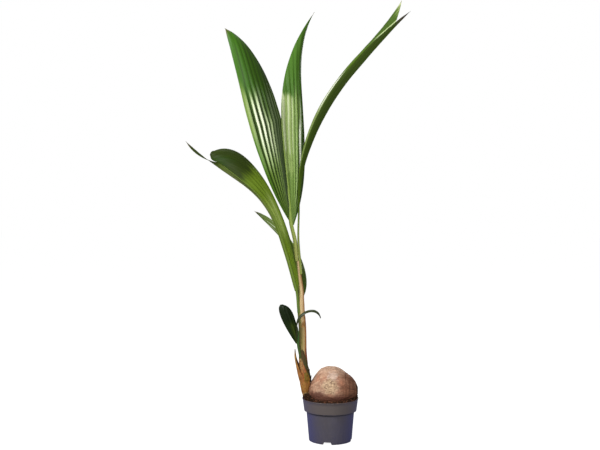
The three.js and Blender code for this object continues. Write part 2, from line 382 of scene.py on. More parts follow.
class MeshDraft:
    """Grids of corners that grow into one mesh."""

    def __init__(self, name: str) -> None:
        """Starts an empty draft.

        Args:
            name: the piece's name.
        """
        self.name = name
        self.corners: list[Array] = []
        self.faces: list[Array] = []
        self.flats: list[Array] = []
        self.finishes: list[Array] = []
        self.count = 0

    def add(self, corners: Array, faces: Array, flats: Array,
            finish: Array | int) -> None:
        """Adds corners and the four-sided faces between them.

        Args:
            corners: places in millimetres.
            faces: the numbers of each face's corners.
            flats: two flat coordinates for each corner of each face.
            finish: the number of each face's finish, or one for all.
        """
        self.corners.append(corners)
        self.faces.append(faces + self.count)
        self.flats.append(flats.reshape(-1, 2))
        self.finishes.append(np.broadcast_to(finish, len(faces)))
        self.count += len(corners)

    def add_grid(self, corners: Array, flat: Array,
                 finish: Array | int = 0) -> None:
        """Adds a grid of four-sided faces.

        Args:
            corners: places by row and column.
            flat: two flat coordinates for each corner. With one more column of them than of
                corners, the last column of corners is joined to the first.
            finish: the number of each face's finish, or one for all.
        """
        rows, columns = corners.shape[:2]
        index = np.arange(rows * columns).reshape(rows, columns)
        if flat.shape[1] > columns:
            index = np.concatenate([index, index[:, :1]], axis=1)

        def quads(grid: Array) -> Array:
            """Gives a grid's values at the four corners of each face."""
            return np.stack([grid[:-1, :-1], grid[:-1, 1:], grid[1:, 1:], grid[1:, :-1]], axis=2)

        faces = quads(index)
        finishes = np.broadcast_to(finish, faces.shape[:2]).reshape(-1)
        self.add(corners.reshape(-1, 3), faces.reshape(-1, 4), quads(flat), finishes)

    def add_tube(self, rings: Array, along: Array | None = None,
                 finish: Array | int = 0) -> None:
        """Adds rings that are joined to a tube.

        Args:
            rings: places by ring and corner.
            along: the flat coordinate of each ring, or None for its share of their number.
            finish: the number of each face's finish, or one for all.
        """
        along = np.linspace(0, 1, len(rings)) if along is None else along
        flat = np.meshgrid(np.linspace(0, 1, rings.shape[1] + 1), along)
        self.add_grid(rings, np.stack(flat, -1), finish)

    def build(self, finishes: Sequence["Finish"], closed: bool = True) -> Piece:
        """Makes the piece.

        Args:
            finishes: the finishes, in the order of their numbers.
            closed: whether it is a closed shape, whose faces are then turned outward.

        Returns:
            The object, with equal corners merged.
        """
        mesh = bpy.data.meshes.new(self.name)
        corners = np.concatenate(self.corners) * MM
        mesh.from_pydata(corners.tolist(), [], np.concatenate(self.faces).tolist())
        layer = mesh.uv_layers.new(name=FLAT_MAP)
        layer.uv.foreach_set("vector", np.concatenate(self.flats).astype(np.float32).ravel())
        numbers = np.concatenate(self.finishes).astype(np.int32)
        mesh.polygons.foreach_set("material_index", numbers)
        for finish in finishes:
            mesh.materials.append(finish.material())
        shaped = bmesh.new()
        shaped.from_mesh(mesh)
        merged = 2e-6
        bmesh.ops.remove_doubles(shaped, verts=shaped.verts, dist=merged)
        bmesh.ops.dissolve_degenerate(shaped, edges=shaped.edges, dist=merged)
        if closed:
            bmesh.ops.recalc_face_normals(shaped, faces=shaped.faces)
        shaped.to_mesh(mesh)
        shaped.free()
        mesh.shade_smooth()
        return placed(self.name, mesh)


def placed(name: str, data: bpy.types.ID) -> Piece:
    """Makes an object and puts it in the scene.

    Args:
        name: its name.
        data: its mesh, lamp or camera.

    Returns:
        The object.
    """
    made = bpy.data.objects.new(name, data)
    bpy.context.scene.collection.objects.link(made)
    return made


def settle(piece: Piece, slot: RecordSlot, *nodes: str) -> Piece:
    """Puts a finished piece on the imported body.

    Args:
        piece: the piece, in place.
        slot: the record's slot that it takes its finish from.
        nodes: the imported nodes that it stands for.

    Returns:
        The piece.
    """
    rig.ride(piece, "root")
    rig.slot(piece, slot.value)
    if nodes:
        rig.replaces(piece, *nodes)
    faces = len(piece.data.polygons)
    LOG.info("%s: %d faces, stands for %s", piece.name, faces, nodes or "nothing")
    return piece


def carved(piece: Piece, cutters: Sequence[Piece]) -> None:
    """Cuts solids out of a piece for good, and throws them away.

    Args:
        piece: the piece to cut.
        cutters: the solids to take out of it.
    """
    for cutter in cutters:
        cut = piece.modifiers.new("cut", "BOOLEAN")
        cut.object = cutter
        cut.solver = "EXACT"
    finished = piece.evaluated_get(bpy.context.evaluated_depsgraph_get())
    shaped = bpy.data.meshes.new_from_object(finished)
    piece.modifiers.clear()
    piece.data = shaped
    for cutter in cutters:
        bpy.data.objects.remove(cutter)


def thicken(sheet: Piece, thickness: float, back: int) -> None:
    """Gives a sheet its thickness.

    Args:
        sheet: the sheet.
        thickness: its thickness in millimetres.
        back: how many finishes further its back is.
    """
    solid = sheet.modifiers.new("thickness", "SOLIDIFY")
    solid.thickness = thickness * MM
    solid.offset = 0
    solid.material_offset = back
    solid.use_even_offset = False


# Materials


class Marks(NamedTuple):
    """What an effect draws: where it lies, from 0 to 1, and how high it stands there."""

    mask: Socket
    height: Socket | None


class NodeBench:
    """Places nodes in a tree and wires them."""

    def __init__(self, tree: bpy.types.NodeTree) -> None:
        """Takes the tree that the nodes go in."""
        self.tree = tree

    def place(self, kind: str, inputs: dict[int | str, Wired] | None = None,
              **settings: object) -> bpy.types.Node:
        """Places a node.

        Args:
            kind: the node's type.
            inputs: a value or another node's output, by the input's name or number.
            settings: the node's own settings.

        Returns:
            The node.
        """
        node = self.tree.nodes.new(kind)
        for key, value in settings.items():
            setattr(node, key, value)
        self.feed(node, inputs or {})
        return node

    def feed(self, node: bpy.types.Node, inputs: dict[int | str, Wired]) -> None:
        """Wires outputs to a node's inputs, or sets the inputs' values.

        Args:
            node: the node.
            inputs: a value or another node's output, by the input's name or number.
        """
        for key, value in inputs.items():
            if isinstance(value, bpy.types.NodeSocket):
                self.tree.links.new(value, node.inputs[key])
            else:
                node.inputs[key].default_value = value

    def maths(self, operation: str, *values: Wired) -> Socket:
        """Works out one number from others."""
        return self.place("ShaderNodeMath", dict(enumerate(values)), operation=operation).outputs[0]

    def plus(self, first: Wired, second: Wired) -> Socket:
        """Adds two numbers."""
        return self.maths("ADD", first, second)

    def minus(self, first: Wired, second: Wired) -> Socket:
        """Takes the second number from the first."""
        return self.maths("SUBTRACT", first, second)

    def times(self, first: Wired, second: Wired) -> Socket:
        """Multiplies two numbers."""
        return self.maths("MULTIPLY", first, second)

    def over(self, colour: Wired, paint: Wired, mask: Wired, share: Wired = 1.0) -> Socket:
        """Lays a paint over a colour, as far as a mask times a share says."""
        inputs = {0: self.times(mask, share), 6: colour, 7: paint}
        return self.place("ShaderNodeMix", inputs, data_type="RGBA").outputs[2]

    def layered(self, colour: Wired, *layers: tuple[Wired, ...]) -> Socket:
        """Lays paints over a colour, one after the other.

        Args:
            colour: the colour.
            layers: for each paint, the paint, its mask and, if not all of it shows, its share.

        Returns:
            The new colour.
        """
        for layer in layers:
            colour = self.over(colour, *layer)
        return colour

    def ramped(self, value: Wired, low: Wired, high: Wired, start: float = 0.0,
               end: float = 1.0) -> Socket:
        """Eases from start to end while a value runs from low to high."""
        inputs = dict(enumerate((value, low, high, start, end)))
        return self.place("ShaderNodeMapRange", inputs, interpolation_type="SMOOTHSTEP").outputs[0]

    def passed(self, value: Wired, place: Wired, blur: Wired) -> Socket:
        """Eases from 0 to 1 while a value passes a place, over a blur on both sides of it."""
        return self.ramped(value, self.minus(place, blur), self.plus(place, blur))

    def within(self, value: Wired, reach: Wired, blur: Wired) -> Socket:
        """Eases from 1 to 0 while a value passes a reach, over a blur on both sides of it."""
        return self.ramped(value, self.minus(reach, blur), self.plus(reach, blur), 1.0, 0.0)

    def spread(self, height: Wired, low: float, high: float) -> Socket:
        """Spreads a noise's height, which is mostly from 0.3 to 0.7, between two values."""
        return self.ramped(height, 0.3, 0.7, low, high)

    def split(self, vector: Wired) -> tuple[Socket, ...]:
        """Gives a vector's three parts."""
        return tuple(self.place("ShaderNodeSeparateXYZ", {0: vector}).outputs)

    def joined(self, operation: str, inputs: dict[int | str, Wired]) -> Given:
        """Works out a vector or a number from vectors."""
        return self.place("ShaderNodeVectorMath", inputs, operation=operation).outputs

    def cloud(self, vector: Wired, scale: Wired, detail: float, roughness: float = 0.5) -> Given:
        """Gives the outputs of a noise."""
        inputs = {"Vector": vector, "Scale": scale, "Detail": detail, "Roughness": roughness}
        return self.place("ShaderNodeTexNoise", inputs).outputs

    def flat(self) -> tuple[Socket, Socket, Socket]:
        """Gives a surface's flat coordinates, together and one by one."""
        flat = self.place("ShaderNodeUVMap", uv_map=FLAT_MAP).outputs[0]
        return (flat, *self.split(flat)[:2])

    def inside(self) -> Socket:
        """Gives the place in the piece, in metres."""
        return self.place("ShaderNodeTexCoord").outputs["Object"]

    def seen(self) -> Socket:
        """Gives 1 to the camera and 0 to all other rays."""
        return self.place("ShaderNodeLightPath").outputs["Is Camera Ray"]


class Effect:
    """A look that several materials share: a node group with the inputs of its function."""

    def __init__(self, fill: Callable[..., Given]) -> None:
        """Takes the function, whose arguments are the bench and inputs that have defaults."""
        self.fill = fill
        self.inputs = {p.name: p.default for p in list(signature(fill).parameters.values())[1:]}

    def __call__(self, bench: NodeBench, **inputs: Wired) -> Marks:
        """Places the effect in a material and gives its marks."""
        outputs = bench.place("ShaderNodeGroup", inputs, node_tree=self.group()).outputs
        return Marks(outputs["mask"], outputs.get("height"))

    def group(self) -> bpy.types.NodeTree:
        """Makes the node group when it is first asked for.

        Returns:
            The node group.
        """
        name = self.fill.__name__
        if name in bpy.data.node_groups:
            return bpy.data.node_groups[name]
        made = bpy.data.node_groups.new(name, "ShaderNodeTree")
        for key, value in self.inputs.items():
            kind = "NodeSocketVector" if isinstance(value, tuple) else "NodeSocketFloat"
            socket = made.interface.new_socket(key, in_out="INPUT", socket_type=kind)
            socket.default_value = value
        bench = NodeBench(made)
        given = bench.place("NodeGroupInput").outputs
        drawn = self.fill(bench, *(given[key] for key in self.inputs))
        for key in drawn:
            made.interface.new_socket(key, in_out="OUTPUT", socket_type="NodeSocketFloat")
        bench.place("NodeGroupOutput", drawn)
        return made


@Effect
def streaks(bench: NodeBench, vector: Wired = ORIGIN, across: Wired = 10.0, along: Wired = 1.0,
            blur: Wired = 0.15) -> Given:
    """Draws long streaks along the second coordinate.

    Args:
        bench: places the nodes.
        vector: the coordinates.
        across: how many streaks there are in a unit across them.
        along: how often they change in a unit along them.
        blur: how soft their edges are.

    Returns:
        The mask and the height.
    """
    x, y, z = bench.split(vector)
    parts = {0: bench.times(x, across), 1: bench.times(y, along), 2: z}
    drawn = bench.place("ShaderNodeCombineXYZ", parts).outputs[0]
    height = bench.cloud(drawn, 1.0, 4.0, 0.6)[0]
    return {"mask": bench.passed(height, 0.5, blur), "height": height}


@Effect
def clouds(bench: NodeBench, vector: Wired = ORIGIN, scale: Wired = 20.0,
           threshold: Wired = 0.55, blur: Wired = 0.1) -> Given:
    """Draws soft blotches, or specks where the scale is large.

    Args:
        bench: places the nodes.
        vector: the coordinates.
        scale: how many blotches there are in a unit.
        threshold: the height above which they lie.
        blur: how soft their edges are.

    Returns:
        The mask and the height.
    """
    height = bench.cloud(vector, scale, 5.0, 0.6)[0]
    return {"mask": bench.passed(height, threshold, blur), "height": height}


@Effect
def band(bench: NodeBench, value: Wired = 0.0, low: Wired = 0.0, high: Wired = 1.0,
         blur: Wired = 0.05) -> Given:
    """Marks where a value is between two others, with blurred ends."""
    begun, ended = (bench.passed(value, end, blur) for end in (low, high))
    return {"mask": bench.times(begun, bench.minus(1.0, ended))}


@Effect
def stripes(bench: NodeBench, value: Wired = 0.0, centre: Wired = 0.5, half: Wired = 0.2,
            blur: Wired = 0.1) -> Given:
    """Marks the same part of every unit of a value, given by its centre and half its width."""
    shifted = bench.maths("FRACT", bench.plus(bench.minus(value, centre), 0.5))
    return {"mask": bench.within(bench.maths("ABSOLUTE", bench.minus(shifted, 0.5)), half, blur)}


@Effect
def patch(bench: NodeBench, vector: Wired = ORIGIN, centre: Wired = ORIGIN,
          radius: Wired = 0.02, blur: Wired = 0.005, raggedness: Wired = 0.02,
          scale: Wired = 60.0) -> Given:
    """Marks a round patch with a ragged edge.

    Args:
        bench: places the nodes.
        vector: the coordinates.
        centre: the patch's middle.
        radius: its radius.
        blur: how soft its edge is.
        raggedness: how far its edge strays.
        scale: how many bays the edge has in a unit.

    Returns:
        The mask.
    """
    away = bench.joined("DISTANCE", {0: vector, 1: centre})["Value"]
    strayed = bench.times(bench.minus(bench.cloud(vector, scale, 4.0)[0], 0.5), raggedness)
    return {"mask": bench.within(bench.plus(away, strayed), radius, blur)}


@Effect
def cracks(bench: NodeBench, vector: Wired = ORIGIN, scale: Wired = 100.0,
           width: Wired = 0.1) -> Given:
    """Draws a net of thin cracks that come and go.

    Args:
        bench: places the nodes.
        vector: the coordinates.
        scale: how many meshes the net has in a unit.
        width: a crack's width as a share of a mesh.

    Returns:
        The mask.
    """
    shaken = bench.cloud(vector, scale, 3.0)
    shift = bench.joined("SCALE", {0: shaken["Color"], "Scale": 0.012})[0]
    inputs = {"Vector": bench.joined("ADD", {0: vector, 1: shift})[0], "Scale": scale}
    cells = bench.place("ShaderNodeTexVoronoi", inputs, feature="DISTANCE_TO_EDGE")
    line = bench.ramped(cells.outputs["Distance"], 0.0, width, 1.0, 0.0)
    return {"mask": bench.times(line, bench.ramped(shaken[0], 0.4, 0.6, 0.15, 1.0))}


class Skin(NamedTuple):
    """What a finish gives its shader.

    depth is what a height of 1 stands for in millimetres, and strength how much of it shows.
    """

    colour: Wired
    roughness: Wired
    gloss: float = 0.5
    height: Socket | None = None
    depth: float = 0.0
    strength: float = 0.0
    others: dict[str, Wired] = {}


class Finish(ABC):
    """What a surface is made of."""

    name: str

    @abstractmethod
    def skin(self, bench: NodeBench) -> Skin:
        """Places the finish's nodes and gives what the shader takes from them."""

    def material(self) -> bpy.types.Material:
        """Makes the material when it is first asked for.

        Returns:
            The material.
        """
        if self.name in bpy.data.materials:
            return bpy.data.materials[self.name]
        made = bpy.data.materials.new(self.name)
        made.use_nodes = True
        bench = NodeBench(made.node_tree)
        skin = self.skin(bench)
        inputs = {"Base Color": skin.colour, "Roughness": skin.roughness,
                  "Specular IOR Level": skin.gloss, **skin.others}
        if skin.height is not None:
            bump = {"Height": skin.height, "Distance": skin.depth * MM, "Strength": skin.strength}
            inputs["Normal"] = bench.place("ShaderNodeBump", bump).outputs[0]
        bench.feed(made.node_tree.nodes["Principled BSDF"], inputs)
        return made


@dataclass(frozen=True)
class Tint:
    """A colour that lies on part of a surface.

    across and along are stretches in the surface's flat coordinates, and blur softens the ends of
    both. A number that is far outside the surface leaves an end open, and ALL leaves both open.
    stripe is the centre and half the width of the part of every pleat that the tint keeps to.
    """

    colour: Colour
    across: Pair
    along: Pair
    strength: float
    blur: Pair
    stripe: Pair | None = None
    flanks: frozenset[Flank] = ALL_FLANKS
    stripe_blur: float = 0.12

    def lay(self, bench: NodeBench, colour: Wired, places: tuple[Socket, Socket],
            light: float = 1.0) -> Socket:
        """Lays the tint over a colour.

        Args:
            bench: places the nodes.
            colour: the colour so far.
            places: the surface's two flat coordinates.
            light: how much lighter or darker the tint is than its own colour; on a leaf, the face's painted light.

        Returns:
            The new colour.
        """
        sides, ends = (
            band(bench, value=value, low=low, high=high, blur=blur).mask
            for value, (low, high), blur in zip(places, (self.across, self.along), self.blur)
        )
        share = bench.times(sides, ends)
        if self.stripe:
            centre, half = self.stripe
            lines = stripes(bench, value=places[0], centre=centre, half=half, blur=self.stripe_blur)
            share = bench.times(share, lines.mask)
        return bench.over(colour, tinted(self.colour, light), share, self.strength)


def tints(convert: Callable[..., Colour], *rows: tuple) -> tuple[Tint, ...]:
    """Makes tints from rows of a colour on a screen, which is converted, and the other fields."""
    return tuple(Tint(convert(*colour), *others) for colour, *others in rows)


def drifted(bench: NodeBench, places: Sequence[Socket], by: Socket, far: Pair) -> list[Socket]:
    """Moves two flat coordinates by a noise's height, each by its own factor."""
    drift = bench.minus(by, 0.5)
    return [bench.plus(place, bench.times(drift, share)) for place, share in zip(places, far)]


@dataclass(frozen=True)
class LeafPaint:
    """The colours of one leaf half, and how rough and how glossy it is.

    A tint's place across it is in pleats from the outer edge, and along it in shares from the foot. Some tints are
    painted light: pale and near-white stripes are painted highlights, and darker parts turned from the light are
    painted shade.
    """

    name: str
    base: Colour
    vein: Colour
    tints: tuple[Tint, ...] = ()
    tip: Colour = leafy(96, 84, 56)
    tip_from: float = 0.985
    roughness: float = 0.4
    gloss: float = 0.2


@dataclass(frozen=True)
class LeafFinish(Finish):
    """Living leaf: fine veins along it, and the half's colours where they lie, among them painted highlights and
    painted shade, all painted lighter or darker by the face's painted light.
    """

    paint: LeafPaint
    flank: Flank

    @property
    def name(self) -> str:
        """Gives the material's name."""
        return f"{self.paint.name} {self.flank.name.lower()}"

    def skin(self, bench: NodeBench) -> Skin:
        """Places the veins, the half's colours with their painted highlights and painted shade, and the withered tip.

        Args:
            bench: places the nodes.

        Returns:
            What the shader takes.
        """
        paint, light = self.paint, FLANK_LIGHT[self.flank]
        flat, *places = bench.flat()
        veins = streaks(bench, vector=flat, across=17.0, along=7.0, blur=0.16)
        broad = streaks(bench, vector=flat, across=2.3, along=3.0, blur=0.2)
        blotches = clouds(bench, vector=flat, scale=2.2, threshold=0.56, blur=0.12)
        places = drifted(bench, places, broad.height, (0.4, 0.16))
        base = paint.vein if self.flank is Flank.VEIN else paint.base
        # The base colour, painted lighter or darker by the face's painted light, with its own blotchy tone.
        colour = bench.over(tinted(base, light * 1.06), tinted(base, light * 0.9), broad.mask)
        for tint in paint.tints:
            if self.flank in tint.flanks:
                colour = tint.lay(bench, colour, places, light)
        tip = bench.ramped(places[1], paint.tip_from - 0.03, paint.tip_from + 0.02)
        colour = bench.layered(
            colour,
            (tinted(paint.base, 0.55), veins.mask, 0.2),
            (tinted(paint.vein, 0.8), blotches.mask, 0.12),
            (paint.tip, tip),
        )
        low = paint.roughness + (0.14 if self.flank is Flank.UNDER else 0.0)
        roughness = bench.spread(broad.height, low, low + 0.12)
        return Skin(colour, roughness, paint.gloss, veins.height, 0.25, 0.35)


@dataclass(frozen=True)
class StalkFinish(Finish):
    """Smooth leaf stalk that fades from one colour at its foot to another at its end."""

    name: str
    foot: Colour
    end: Colour
    side: Colour

    def skin(self, bench: NodeBench) -> Skin:
        """Places the fade along the stalk, its darker back and its stripes.

        Args:
            bench: places the nodes.

        Returns:
            What the shader takes.
        """
        flat, u, v = bench.flat()
        lines = streaks(bench, vector=flat, across=14.0, along=5.0, blur=0.14)
        back = band(bench, value=u, low=0.52, high=0.98, blur=0.08)
        colour = bench.layered(
            self.foot,
            (self.end, bench.ramped(v, 0.05, 0.55)),
            (self.side, back.mask, 0.6),
            (self.side, lines.mask, 0.35),
        )
        return Skin(colour, bench.spread(lines.height, 0.3, 0.45), 0.22, lines.height, 0.3, 0.4)


@dataclass(frozen=True)
class SheathFinish(Finish):
    """Leaf sheath: parallel fibres, stains and specks, and tints where they lie.

    A tint's place across it is in turns, 0 on the right and 0.25 in front, and along it in
    heights of 100 mm. stains is how few stains there are, specks how dark the specks are.
    """

    name: str
    base: Colour
    streak: Colour
    stain: Colour
    tints: tuple[Tint, ...] = ()
    stains: float = 0.55
    specks: float = 0.6
    roughness: float = 0.5

    def skin(self, bench: NodeBench) -> Skin:
        """Places the tints, the fibres, the stains and the specks.

        Args:
            bench: places the nodes.

        Returns:
            What the shader takes.
        """
        flat, *places = bench.flat()
        at = bench.inside()
        fibres = streaks(bench, vector=flat, across=26.0, along=2.6, blur=0.12)
        broad = streaks(bench, vector=flat, across=6.0, along=1.3, blur=0.2)
        stains = clouds(bench, vector=at, scale=45.0, threshold=self.stains, blur=0.07)
        specks = clouds(bench, vector=at, scale=330.0, threshold=0.59, blur=0.04)
        places = drifted(bench, places, broad.height, (0.1, 0.5))
        colour = bench.over(self.base, self.streak, broad.mask, 0.6)
        for tint in self.tints:
            colour = tint.lay(bench, colour, places)
        colour = bench.layered(
            colour,
            (self.streak, fibres.mask, 0.35),
            (self.stain, stains.mask, 0.5),
            (tinted(self.stain, 0.35), specks.mask, self.specks),
        )
        roughness = bench.spread(stains.height, self.roughness, self.roughness + 0.2)
        return Skin(colour, roughness, 0.2, fibres.height, 0.5, 0.6)


@dataclass(frozen=True)
class Spot:
    """A ragged spot on the husk, in metres, and how much of its paint shows."""

    paint: Colour
    share: float
    centre: Place
    radius: float
    raggedness: float
    blur: float = 0.006
    scale: float = 90.0

    def layer(self, bench: NodeBench, at: Socket) -> tuple[Wired, ...]:
        """Gives the spot as a layer of paint.

        Args:
            bench: places the nodes.
            at: the place in the piece.

        Returns:
            The paint, its mask and its share.
        """
        marks = patch(bench, vector=at, centre=self.centre, radius=self.radius, blur=self.blur,
                      raggedness=self.raggedness, scale=self.scale)
        return self.paint, marks.mask, self.share


@dataclass(frozen=True)
class HuskFinish(Finish):
    """Coconut husk: skin worn through to fibre in places and darker low down, with a painted highlight on top and
    painted shade at both ends and in the right end's creases.
    """

    name: str = "coconut husk"
    upper: Colour = screen(204, 168, 140)
    ruddy: Colour = screen(160, 106, 82)
    lower: Colour = screen(84, 48, 38)
    # Painted shade of the right end; darker tones of it also draw the lines of the fibres and creases.
    shade: Colour = screen(122, 78, 56)
    speck: Colour = screen(86, 60, 44)
    # Painted highlight: the lighter top of the husk.
    top: Colour = screen(216, 184, 158)
    spots: tuple[Spot, ...] = (
        Spot(screen(222, 202, 188), 0.5, (0.006, -0.049, 0.226), 0.018, 0.05),
        Spot(screen(214, 134, 100), 0.5, (-0.049, -0.03, 0.216), 0.009, 0.022),
        Spot(screen(214, 134, 100), 0.3, (0.036, -0.058, 0.205), 0.007, 0.02),
    )
    bare: Spot = Spot(
        screen(222, 196, 158), 0.65, (-0.004, -0.072, 0.198), 0.026, 0.035, blur=0.009, scale=55.0
    )
    scar: Spot = Spot(screen(58, 38, 28), 0.85, (0.094, -0.012, 0.178), 0.012, 0.01, blur=0.003)

    def skin(self, bench: NodeBench) -> Skin:
        """Places the husk's zones, spots, fibres and creases, with its painted highlight and painted shade.

        Args:
            bench: places the nodes.

        Returns:
            What the shader takes.
        """
        flat, at = bench.flat()[0], bench.inside()
        x, _, z = bench.split(at)
        fibres = streaks(bench, vector=flat, across=90.0, along=7.0, blur=0.14)
        creases = streaks(bench, vector=flat, across=20.0, along=4.0, blur=0.06)
        hoops = streaks(bench, vector=at, across=170.0, along=16.0, blur=0.06)
        broad = clouds(bench, vector=at, scale=26.0, threshold=0.5, blur=0.08)
        scuffs = clouds(bench, vector=at, scale=95.0, threshold=0.56, blur=0.06)
        grains = clouds(bench, vector=at, scale=190.0, threshold=0.54, blur=0.04)
        net = cracks(bench, vector=at, scale=125.0, width=0.2)
        drift = bench.times(bench.minus(broad.height, 0.5), 0.05)
        height = bench.plus(z, drift)
        # Painted shade: towards the right end, its edge leaning with height, and at the left end in the husk's redder
        # tone.
        leant = bench.plus(x, bench.times(bench.minus(z, 0.19), -0.55))
        to_right = bench.ramped(bench.plus(leant, bench.times(drift, 1.5)), 0.018, 0.062)
        to_left = bench.ramped(x, -0.068, -0.046, 0.5, 0.0)
        slope = bench.plus(height, bench.times(x, 0.04))
        bare = self.bare.layer(bench, at)
        colour = bench.layered(
            self.upper,
            (self.ruddy, broad.mask, 0.6),
            (self.ruddy, scuffs.mask, 0.4),
            # Painted highlight on the top.
            (self.top, bench.ramped(height, 0.222, 0.244), 0.6),
            # Painted shade at the right end, then at the left end.
            (self.shade, to_right, 0.85),
            (tinted(self.ruddy, 0.8), to_left),
            *(spot.layer(bench, at) for spot in self.spots),
            bare,
            (self.speck, net.mask, bench.ramped(bare[1], 0.0, 1.0, 0.34, 0.85)),
            (self.lower, bench.ramped(slope, 0.158, 0.174, 1.0, 0.0), 0.95),
            (tinted(self.shade, 0.75), fibres.mask, 0.34),
            # Dark crease lines, more of them towards the right end: partly the husk's own colour, partly painted
            # shade.
            (tinted(self.shade, 0.45), creases.mask, bench.ramped(x, -0.04, 0.05, 0.12, 0.3)),
            # Painted shade in the hoop-like creases of the right end.
            (tinted(self.shade, 0.5), hoops.mask, bench.ramped(x, 0.02, 0.06, 0.0, 0.6)),
            self.scar.layer(bench, at),
        )
        relief = bench.plus(fibres.height, bench.times(grains.height, 0.8))
        relief = bench.minus(relief, net.mask)
        return Skin(colour, bench.spread(broad.height, 0.55, 0.78), 0.2, relief, 1.0, 0.8)


@dataclass(frozen=True)
class PotPlastic(Finish):
    """Moulded blue-grey plastic with a satin skin, fine grain, scuffs and dried dirt, with a painted blue reflection
    where it is seen at a slant and a painted shadow under the collar.
    """

    name: str = "grey pot plastic"
    base: Colour = screen(70, 66, 71)
    cool: Colour = screen(68, 65, 80)
    collar: Colour = screen(86, 78, 75)
    # Painted reflection: the blue that the sides show when seen at a slant.
    slant: Colour = screen(56, 58, 110)
    # Painted shadow: the dark band just under the collar.
    groove: Colour = screen(30, 26, 30)
    dirt: Colour = screen(92, 78, 66)
    soiled: Colour = screen(56, 44, 38)
    sheen: Colour = screen(96, 104, 255)

    def skin(self, bench: NodeBench) -> Skin:
        """Places the painted blue reflection where the surface is seen at a slant, the painted shadow under the
        collar, the grain, the scuffs and the dirt.

        Args:
            bench: places the nodes.

        Returns:
            What the shader takes.
        """
        at = bench.inside()
        z = bench.split(at)[2]
        slanting = bench.place("ShaderNodeLayerWeight", {"Blend": 0.5}).outputs["Facing"]
        tint = clouds(bench, vector=at, scale=9.0, threshold=0.5, blur=0.2)
        grain = clouds(bench, vector=at, scale=900.0, threshold=0.5, blur=0.3)
        scuffs = streaks(bench, vector=at, across=60.0, along=400.0, blur=0.05)
        dust = clouds(bench, vector=at, scale=120.0, threshold=0.55, blur=0.1)
        # Where the painted shadow under the collar lies.
        under = band(bench, value=z, low=0.0965, high=0.1022, blur=0.0016)
        near_rim = bench.ramped(z, 0.128, 0.143, 0.05, 0.45)
        near_foot = bench.ramped(z, 0.0, 0.012, 0.4, 0.0)
        # How much of the painted blue reflection shows: more on the body than on the collar.
        below = bench.ramped(z, 0.1, 0.106, 0.56, 0.14)
        colour = bench.layered(
            self.base,
            (self.cool, tint.mask),
            (self.collar, bench.ramped(z, 0.1015, 0.1045)),
            # Painted reflection: blue where the surface is seen at a slant.
            (self.slant, bench.ramped(slanting, 0.06, 0.6), below),
            (tinted(self.base, 1.7), scuffs.mask, bench.times(tint.mask, 0.12)),
            # Painted shadow under the collar.
            (self.groove, under.mask, 0.8),
            (self.soiled, bench.ramped(z, 0.1405, 0.1418, 0.0, 0.75)),
            (self.dirt, dust.mask, bench.maths("MAXIMUM", near_rim, near_foot)),
        )
        sheen = {"Sheen Weight": 0.12, "Sheen Roughness": 0.5, "Sheen Tint": self.sheen}
        roughness = bench.spread(dust.height, 0.36, 0.52)
        return Skin(colour, roughness, 0.5, grain.height, 0.12, 0.35, sheen)


@dataclass(frozen=True)
class EarthFinish(Finish):
    """Potting mix and what lies in it: crumbly, damp and matte."""

    name: str
    base: Colour
    light: Colour
    grain: float = 500.0

    def skin(self, bench: NodeBench) -> Skin:
        """Places the crumbs' colours and the damp.

        Args:
            bench: places the nodes.

        Returns:
            What the shader takes.
        """
        at = bench.inside()
        crumbs = clouds(bench, vector=at, scale=self.grain, threshold=0.55, blur=0.12)
        damp = clouds(bench, vector=at, scale=40.0, threshold=0.5, blur=0.15)
        layers = (self.light, crumbs.mask), (tinted(self.base, 0.6), damp.mask, 0.4)
        colour = bench.layered(self.base, *layers)
        return Skin(colour, bench.spread(damp.height, 0.7, 0.98), 0.08, crumbs.height, 0.8, 0.8)


@dataclass(frozen=True)
class StudioFloorFinish(Finish):
    """Pale, faintly cloudy studio floor, which throws back less light than it shows."""

    name: str = "pale studio floor"
    base: Colour = (0.24, 0.24, 0.24, 1.0)
    glow: float = 0.93

    def skin(self, bench: NodeBench) -> Skin:
        """Places the cloudiness, and the glow that only the camera sees.

        Args:
            bench: places the nodes.

        Returns:
            What the shader takes.
        """
        cloudy = clouds(bench, vector=bench.inside(), scale=1.5, threshold=0.5, blur=0.3)
        colour = bench.over(self.base, tinted(self.base, 0.96), cloudy.mask)
        strength = bench.times(bench.seen(), self.glow)
        glow = {"Emission Color": WHITE, "Emission Strength": strength}
        return Skin(colour, 0.9, 0.0, others=glow)


# Pot, soil and coconut


